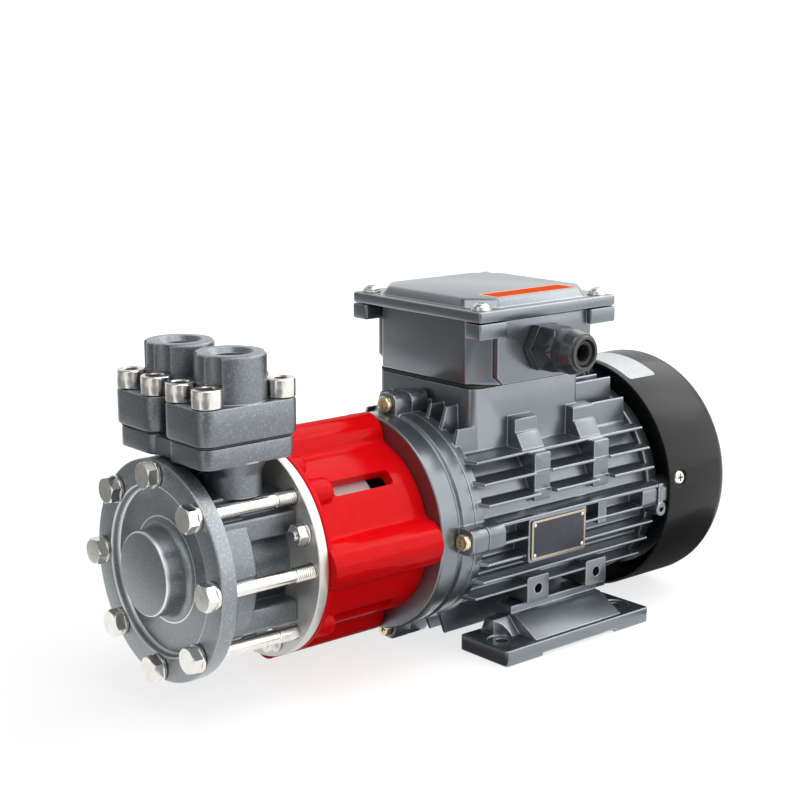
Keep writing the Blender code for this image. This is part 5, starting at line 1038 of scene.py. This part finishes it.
def make_cowl():
    """Fan cowl: pressed steel with a rolled front edge, a slotted grille and four small screws."""
    wall = 1.2
    body = lathe([
        (COWL_REAR - wall, 0), (COWL_REAR - wall, COWL_RADIUS - wall, 8.0), (COWL_FRONT, COWL_RADIUS - wall),
        (COWL_FRONT, COWL_RADIUS, 0.4), (COWL_REAR, COWL_RADIUS, 9.2), (COWL_REAR, 0)], 192)
    slots = []
    for count, start, end in ((24, 36, 54), (12, 17, 31)):
        for angle in angles(count, math.pi / count):
            slot = block((COWL_REAR - 3, -1.75, start), (COWL_REAR + 1, 1.75, end), 1.7, "X", corner_steps=4)
            slots.append(turned_about_shaft(slot, -angle))
    sinks = gather([
        turned_about_shaft(bar(5.4, -COWL_RADIUS - 3, -COWL_RADIUS + 0.8, "Y", (COWL_SCREW_X, 0, 0)), angle)
        for angle in COWL_SCREW_ANGLES])
    piece(carved(body, gather(slots), sinks), "pressed_cowl", COWL, "fan_cover", smooth=28)
    top = 68.55
    for number, angle in enumerate(COWL_SCREW_ANGLES, 1):
        head = lathe([
            (65.9, 0), (65.9, 4.4), (67.2, 4.5, 0.5), (top, 3.2, 1.0), (top, 0)],
            40, "-Y", (COWL_SCREW_X, 0, 0))
        recess = cross_slots("Y", -69, -67.6, 0.45, 2.2, (COWL_SCREW_X, 0.0))
        piece(turned_about_shaft(carved(head, *recess), angle), f"cowl_screw_{number}", BRIGHT)


def make_cowl_label():
    """Blank white label with rounded corners, wrapped round the cowl beside its front edge."""
    start, end, low, high, corner = 169.8, 192.5, math.radians(62), math.radians(102), 2.2
    radius = COWL_RADIUS + LABEL_LIFT
    width, length = end - start, (high - low) * radius
    bm = bmesh.new()
    bmesh.ops.create_grid(bm, x_segments=12, y_segments=24, size=0.5)
    for vert in bm.verts:
        along, across = abs(vert.co.x) * width, abs(vert.co.y) * length
        over = Vector((max(along - width / 2 + corner, 0.0), max(across - length / 2 + corner, 0.0)))
        if over.length > corner:
            along -= over.x * (1 - corner / over.length)
            across -= over.y * (1 - corner / over.length)
        station = (start + end) / 2 + math.copysign(along, vert.co.x)
        angle = (low + high) / 2 + math.copysign(across, vert.co.y) / radius
        vert.co = Vector((station, 0, 0)) + Vector(around(radius, angle))
    bmesh.ops.recalc_face_normals(bm, faces=bm.faces)
    bmesh.ops.solidify(bm, geom=bm.verts[:] + bm.edges[:] + bm.faces[:], thickness=0.06)
    piece(bm, "blank_cowl_label", WHITE_VINYL)


FOOT_HOLES = (45.5, 135.5)
FOOT_HOLE_Y = 56.0


def make_feet():
    """Feet: a drilled bar relieved underneath, a sloped web with a ledge, and end gussets."""
    for side, name in ((-1, "foot_near"), (1, "foot_far")):
        low, high = drawn(name)
        floor, top = low.z, low.z + 8.9
        ledge, gusset_top = floor + 18.5, floor + 17.5
        body = block((low.x, low.y, floor), (high.x, high.y, top), 2.2, "Z", 0.9)
        slope = [
            (69.0, top - 1.5), (69.0, top, 1.5), (52.5, ledge, 1.5), (49.5, ledge, 0.8), (49.5, high.z, 0.6),
            (37.5, high.z, 0.6), (35.9, top, 1.0), (35.9, top - 1.5)]
        web = side_prism(side, slope, low.x + 24.5, high.x - 20.5, 0.7)
        gusset = [
            (56.0, top - 1.5), (56.0, top, 1.0), (47.5, gusset_top, 1.2), (41.5, gusset_top, 1.2),
            (37.5, top, 1.0), (37.5, top - 1.5)]
        front = side_prism(side, gusset, low.x + 12.5, low.x + 25.5, 0.8)
        body = joined(body, web, front)
        relief_block = block((low.x + 27, low.y - 1, floor - 1), (high.x - 27, high.y + 1, floor + 2.0))
        places = [(x, side * FOOT_HOLE_Y, 0) for x in FOOT_HOLES]
        holes = gather([bar(3.5, floor - 1, top + 1, "Z", place, 40) for place in places])
        spots = gather([bar(8.0, top - 0.5, top + 12, "Z", place, 48) for place in places])
        piece(carved(body, relief_block, holes, spots), f"{name}_casting", PAINT, name)


# Terminal box

BOX_FRONT = 37.6
BOX_REAR = 127.6
BOX_HALF = 46.5     # half its width, and half the length of the lid's plateau
GLAND_X = 79.6
GLAND_Z = 93.0
GLAND_PLACE = (GLAND_X, 0, GLAND_Z)


def make_terminal_box():
    """Terminal box: a chamfered body with entry pads and corner tabs, on its gasket."""
    low, high = drawn("box_gasket")
    sheet = block(low, high, 5, "Z", 0.25)
    opening = bar(WIRE_HOLE, low.z - 1, high.z + 1, "Z", (BOX_X, 0, 0), 48)
    piece(carved(sheet, opening), "box_gasket_sheet", RUBBER, "box_gasket")
    low, high = drawn("terminal_box")
    body = block((BOX_FRONT, -BOX_HALF, low.z), (BOX_REAR, BOX_HALF, high.z), 13, "Z", corner_steps=1)
    soften(body, 0.9)
    shapes = []
    tab_reach = (high.y - low.y) / 2
    for side in (-1, 1):
        y0, y1 = sorted((side * 48.5, side * 44))
        shapes.append(block(
            (BOX_X - 35.25, y0, low.z + 0.3), (BOX_X + 35.25, y1, high.z - 0.3), 4, "Y", 0.7, 1))
        y0, y1 = sorted((side * tab_reach, side * (tab_reach - 12)))
        for x0, x1 in ((low.x, low.x + 20), (high.x - 20, high.x)):
            shapes.append(block((x0, y0, high.z - 8.5), (x1, y1, high.z - 0.05), 1.5, "Z", 0.9))
    body = joined(body, *shapes)
    inside = block(
        (BOX_FRONT + 3, 3 - BOX_HALF, low.z + 3), (BOX_REAR - 3, BOX_HALF - 3, high.z + 1), 11, "Z",
        corner_steps=1)
    wires = bar(WIRE_HOLE, low.z - 1, low.z + 5, "Z", (BOX_X, 0, 0), 48)
    entry = bar(10.1, -50, -40, "Y", GLAND_PLACE, 48)
    piece(carved(body, inside, wires, entry), "terminal_box_casting", PAINT, "terminal_box")


def make_lid():
    """Lid: a flange with four screws and a raised, chamfered plateau."""
    low, high = drawn("terminal_lid")
    flange_top = low.z + 6
    body = block(low, (high.x, high.y, flange_top), 2.0, "Z", 1.3)
    width, slope = 46.0, 3.0
    top = high.z - 0.1
    raised = block(
        (BOX_X - BOX_HALF, -width, flange_top - 1), (BOX_X + BOX_HALF, width, top), 13, "Z", corner_steps=1)
    for vert in raised.verts:
        if vert.co.z > top - 0.01:
            vert.co.x += math.copysign(slope, BOX_X - vert.co.x)
            vert.co.y -= math.copysign(slope, vert.co.y)
    soften(raised, 1.6, 3, lambda edge: max(v.co.z for v in edge.verts) > top - 0.1)
    body = joined(body, raised)
    inside = block(
        (BOX_X - BOX_HALF + 6, 6 - width, low.z - 1), (BOX_X + BOX_HALF - 6, width - 6, high.z - 3), 13, "Z",
        corner_steps=1)
    piece(carved(body, inside), "lid_casting", PAINT, "terminal_lid")
    inset = 7.6
    seat = flange_top - 0.05
    spots = [
        (BOX_X + along * ((high.x - low.x) / 2 - inset), across * (high.y - inset))
        for along in (-1, 1) for across in (-1, 1)]
    for number, (x, y) in enumerate(spots, 1):
        head = lathe([
            (seat, 0), (seat, 5.4, 0.2), (seat + 0.95, 5.4, 0.2), (seat + 0.95, 4.7), (seat + 2.0, 4.7, 0.4),
            (seat + 3.5, 2.9, 1.6), (seat + 3.5, 0)], 40, "Z", (x, y, 0))
        recess = cross_slots("Z", seat + 2.4, seat + 4, 0.45, 2.3, (x, y))
        piece(carved(head, *recess), f"lid_screw_{number}", BRIGHT)


def make_label():
    """Blank orange strip with a pale border, stuck to the lid's plateau."""
    surface = drawn("terminal_lid")[1].z
    start, end = (53.5, -41.3), (114.5, -25.8)
    strip = block((*start, surface - 0.12), (*end, surface - 0.01), 1.2, "Z")
    corners = [TO_FRAME @ Vector(corner) for corner in ((*start, surface - 0.12), (*end, surface))]
    # Coated film: a flat, strong orange
    vinyl = bordered(
        "printed_vinyl", "red_paint", ("#FFDCCE", "#E6592A"), *corners, margin=1.2, metallic=0.0,
        roughness=0.5, Specular_IOR_Level=0.0)
    piece(strip, "blank_label", vinyl)


def turned_about_gland(bm, angle):
    """Turn a shape about the cable gland's own line."""
    bmesh.ops.rotate(bm, verts=bm.verts, cent=GLAND_PLACE, matrix=Matrix.Rotation(angle, 3, "Y"))
    return bm


def make_gland():
    """Cable gland in glass-filled nylon: hexagon body, clamping nut with ribs, and a rubber seal."""
    base, stub = 48.8, 53.8
    body = lathe([
        (41.0, 5.7), (41.0, 9.8), (49.8, 9.8), (49.8, 12.0, 0.4), (stub - 0.2, 12.0), (stub - 0.2, 8.5),
        (65.8, 8.5), (65.8, 5.7)], 64, "-Y", GLAND_PLACE)
    flange = lathe([(base, 6.8), (base, 13.85, 0.5), (stub, 13.85, 0.7), (stub, 6.8)], 6, "-Y", GLAND_PLACE)
    piece(joined(body, flange), "gland_entry_body", NYLON, "gland_body")
    face, tip = 54.1, 80.6
    grip_end = face + 12.5
    grip = turned_about_gland(bar(13.3, -grip_end, -face, "Y", GLAND_PLACE, 6), QUARTER / 3)
    limits = lathe([
        (face, 0), (face, 12.2), (face + 0.9, 13.25), (face + 9.5, 13.25), (grip_end, 11.4), (grip_end, 0)],
        96, "-Y", GLAND_PLACE)
    dome = lathe([
        (face + 4, 0), (face + 4, 11.5), (face + 13.6, 11.5, 0.4), (face + 14.2, 12.2, 0.4),
        (tip - 7.5, 12.2, 1.6), (tip - 2.2, 10.6, 1.6), (tip - 1.4, 10.2, 0.2), (tip - 1.5, 9.3, 0.3),
        (tip, 9.1, 0.4), (tip, 7.8, 0.3), (tip, 0)], 96, "-Y", GLAND_PLACE)
    bore = lathe([
        (face - 1, 0), (face - 1, 8.8), (tip - 5.5, 8.8), (tip - 4, 7.2), (tip - 0.6, 7.2), (tip + 1, 8.0),
        (tip + 1, 0)], 96, "-Y", GLAND_PLACE)
    piece(carved(joined(shared(grip, limits), dome), bore), "gland_clamping_nut", NYLON, "gland_nut")
    seal = lathe([
        (66.1, 4.6), (66.1, 8.3), (tip - 6.0, 8.3), (tip - 4.5, 6.9), (tip - 1.5, 6.9, 0.5),
        (tip - 1.5, 4.6, 0.8)], 64, "-Y", GLAND_PLACE)
    piece(seal, "gland_seal_ring", RUBBER, "gland_seal")


def make_nameplate():
    """Blank aluminium plate with a pale border, held by four rivets."""
    low, high = drawn("nameplate")
    # Dark anodised aluminium with its natural colour left bare round the edge
    anodised = bordered(
        "anodised_plate", "aluminium_plate", ("#B9A894", "#3E4047"), TO_FRAME @ low, TO_FRAME @ high,
        margin=1.2, metallic=0.7, roughness=0.3)
    shape = block((low.x, low.y + 0.2, low.z), high, 1.4, "Y", 0.12)
    piece(shape, "blank_nameplate", anodised, "nameplate")
    inset = 2.4
    corners = [(x, z) for x in (low.x + inset, high.x - inset) for z in (low.z + inset, high.z - inset)]
    for number, (x, z) in enumerate(corners, 1):
        rivet = lathe([(65.5, 0), (65.5, 1.1), (66.0, 0.9, 0.4), (66.0, 0)], 20, "-Y", (x, 0, z))
        piece(rivet, f"plate_rivet_{number}", BRIGHT)


def finish_inner_nodes():
    """The pieces inside keep their CAD shapes and get the finish of the real ones."""
    inner = {
        "casing_gasket": RUBBER, "front_bush": GRAPHITE, "rear_bush": GRAPHITE, "pump_shaft": DRAWN,
        "impeller": DRAWN, "isolation_can": DRAWN, "motor_shaft": TURNED, "rotor_core": TURNED,
        "stator_core": COPPER, "front_bearing": TURNED, "rear_bearing": TURNED, "terminal_block": MOULDING}
    for node, finish in inner.items():
        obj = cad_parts[node]
        obj.data.materials.clear()
        obj.data.materials.append(finish)


# Studio, in the frame's own place and in metres

CAMERA_PLACE = (-0.5771, -0.6490, 0.3159)
CAMERA_HEADING = math.radians(-40.6)
CAMERA_PITCH = math.radians(78.1)
CAMERA_LENS = 73.8
AMBIENT = 0.2


def make_camera():
    """The photograph's camera, solved on the motor's standard sizes."""
    data = bpy.data.cameras.new("camera")
    data.lens = CAMERA_LENS
    data.sensor_width = 36.0
    camera = bpy.data.objects.new("camera", data)
    camera.location = CAMERA_PLACE
    camera.rotation_euler = (CAMERA_PITCH, 0, CAMERA_HEADING)
    bpy.context.scene.collection.objects.link(camera)
    bpy.context.scene.camera = camera


def facing(place, target):
    """Rotation that turns something from looking down to looking from its place at a target."""
    return (Vector(target) - Vector(place)).to_track_quat("-Z", "Y")


def softbox(name, place, target, width, height, watts):
    """Rectangular lamp aimed at a target."""
    data = bpy.data.lights.new(name, "AREA")
    data.shape = "RECTANGLE"
    data.size = width
    data.size_y = height
    data.energy = watts
    lamp = bpy.data.objects.new(name, data)
    lamp.location = place
    lamp.rotation_euler = facing(place, target).to_euler()
    bpy.context.scene.collection.objects.link(lamp)


def stage_grid(name, surface_name, size, matrix=None):
    """Flat square of the stage, with a material of its own; returns object, node tree and shader."""
    bm = bmesh.new()
    bmesh.ops.create_grid(bm, x_segments=1, y_segments=1, size=size, matrix=matrix or Matrix.Identity(4))
    mesh = bpy.data.meshes.new(name)
    bm.to_mesh(mesh)
    bm.free()
    surface = bpy.data.materials.new(surface_name)
    surface.use_nodes = True
    mesh.materials.append(surface)
    obj = bpy.data.objects.new(name, mesh)
    bpy.context.scene.collection.objects.link(obj)
    shader = surface.node_tree.nodes["Principled BSDF"]
    shader.inputs["Specular IOR Level"].default_value = 0.0
    return obj, surface.node_tree, shader


def flag(name, place, target, width, height, level):
    """Dark card that only shows as a reflection, where the real studio had no light."""
    turn = facing(place, target).to_matrix().to_4x4()
    card, _, shader = stage_grid(
        name, name.replace("flag", "felt"), 0.5,
        Matrix.Translation(place) @ turn @ Matrix.Diagonal((width, height, 1.0, 1.0)))
    shader.inputs["Base Color"].default_value = (0, 0, 0, 1)
    shader.inputs["Emission Color"].default_value = (1, 1, 1, 1)
    shader.inputs["Emission Strength"].default_value = level
    card.visible_camera = False
    card.visible_shadow = False
    card.visible_diffuse = False


def floor_flag(name, x, y, width, height, level, lift=0.0005):
    """Flag that lies just over the floor, facing up."""
    flag(name, (x, y, lift), (x, y, 1.0), width, height, level)


def glossy_or_clear(tree, path):
    """1 for rays that reach the camera by a reflection or through glass."""
    links = {0: path["Is Glossy Ray"], 1: path["Is Transmission Ray"]}
    return add(tree, "ShaderNodeMath", links, operation="MAXIMUM").outputs[0]


def make_floor():
    """White paper floor: it keeps the object's shadow, and fades to pure white away from it."""
    _, tree, shader = stage_grid("floor", "white_paper", 6.0)
    shader.inputs["Base Color"].default_value = linear("#A9A9A9")
    shader.inputs["Roughness"].default_value = 1.0
    here = add(tree, "ShaderNodeTexCoord").outputs["Object"]
    away = add(tree, "ShaderNodeVectorMath", {0: here}, operation="LENGTH").outputs["Value"]
    level = spread(tree, away, 0.74, 1.0, 0.25, 0.9)
    path = add(tree, "ShaderNodeLightPath").outputs
    seen = add(tree, "ShaderNodeMath", {0: path["Is Camera Ray"], 1: level}, operation="MULTIPLY").outputs[0]
    strength = add(
        tree, "ShaderNodeMath", {0: seen, 1: glossy_or_clear(tree, path)}, operation="MAXIMUM").outputs[0]
    glow = add(tree, "ShaderNodeEmission", {"Color": (1, 1, 1, 1), "Strength": strength})
    both = add(tree, "ShaderNodeAddShader")
    tree.links.new(shader.outputs[0], both.inputs[0])
    tree.links.new(glow.outputs[0], both.inputs[1])
    tree.links.new(both.outputs[0], tree.nodes["Material Output"].inputs["Surface"])


def make_backdrop():
    """World that is white where it is seen or mirrored, and a weak light on the object."""
    world = bpy.data.worlds.new("studio")
    bpy.context.scene.world = world
    world.use_nodes = True
    tree = world.node_tree
    ambient = tree.nodes["Background"]
    ambient.inputs["Color"].default_value = (1, 1, 1, 1)
    ambient.inputs["Strength"].default_value = AMBIENT
    backdrop = add(tree, "ShaderNodeBackground", {"Color": (1, 1, 1, 1), "Strength": 1.0})
    path = add(tree, "ShaderNodeLightPath").outputs
    links = {0: path["Is Camera Ray"], 1: glossy_or_clear(tree, path)}
    seen = add(tree, "ShaderNodeMath", links, operation="MAXIMUM").outputs[0]
    chosen = add(tree, "ShaderNodeMixShader", {"Fac": seen})
    tree.links.new(ambient.outputs[0], chosen.inputs[1])
    tree.links.new(backdrop.outputs[0], chosen.inputs[2])
    tree.links.new(chosen.outputs[0], tree.nodes["World Output"].inputs["Surface"])


def make_lights():
    """A large softbox on the gland's side, smaller ones above and in front, and dark flags."""
    softbox("near_side", (0.85, -1.15, 0.8), (0.03, 0, 0.08), 2.4, 1.6, 18)
    softbox("upper_rear", (1.05, 0.0, 1.15), (0.03, 0, 0.1), 1.4, 1.0, 9)
    softbox("overhead", (-0.1, -0.35, 1.25), (0, 0, 0.08), 0.8, 0.6, 5)
    softbox("front_end", (-1.1, -0.6, 0.6), (-0.1, 0, 0.08), 0.4, 0.7, 1.6)
    flag("front_flag", (-0.95, 0.7, 0.45), (-0.1, 0, 0.1), 1.4, 0.95, 0.32)
    floor_flag("low_front_flag", -0.65, 0.45, 0.75, 0.95, 0.32, lift=0.004)
    # Ends at the foot's front end, so that no bright strip is mirrored there
    floor_flag("under_flag", -0.041, -0.06, 0.0735, 0.13, 0.12)
    floor_flag("cowl_flag", 0.19, 0.0, 0.14, 0.22, 0.12)
    flag("camera_flag", (-0.95, -0.85, 0.35), (0, 0, 0.1), 0.8, 0.8, 0.3)
    floor_flag("low_camera_flag", -0.62, -0.5, 0.6, 0.6, 0.3, lift=0.004)
    flag("top_flag", (-0.45, 0.2, 1.35), (-0.45, 0.2, 0.0), 1.2, 1.6, 0.3)


make_camera()
make_cover()
make_tie_bolts()
make_casing()
make_port_flanges()
make_port_gaskets()
make_port_screws()
make_ring()
make_ring_nuts()
make_lantern()
make_magnet_rotors()
make_front_shield()
make_shield_screws()
make_housing()
make_rear_shield()
make_fan()
make_cowl()
make_cowl_label()
make_feet()
make_terminal_box()
make_lid()
make_label()
make_gland()
make_nameplate()
finish_inner_nodes()
make_floor()
make_backdrop()
make_lights()

bpy.context.scene.view_settings.view_transform = "Standard"
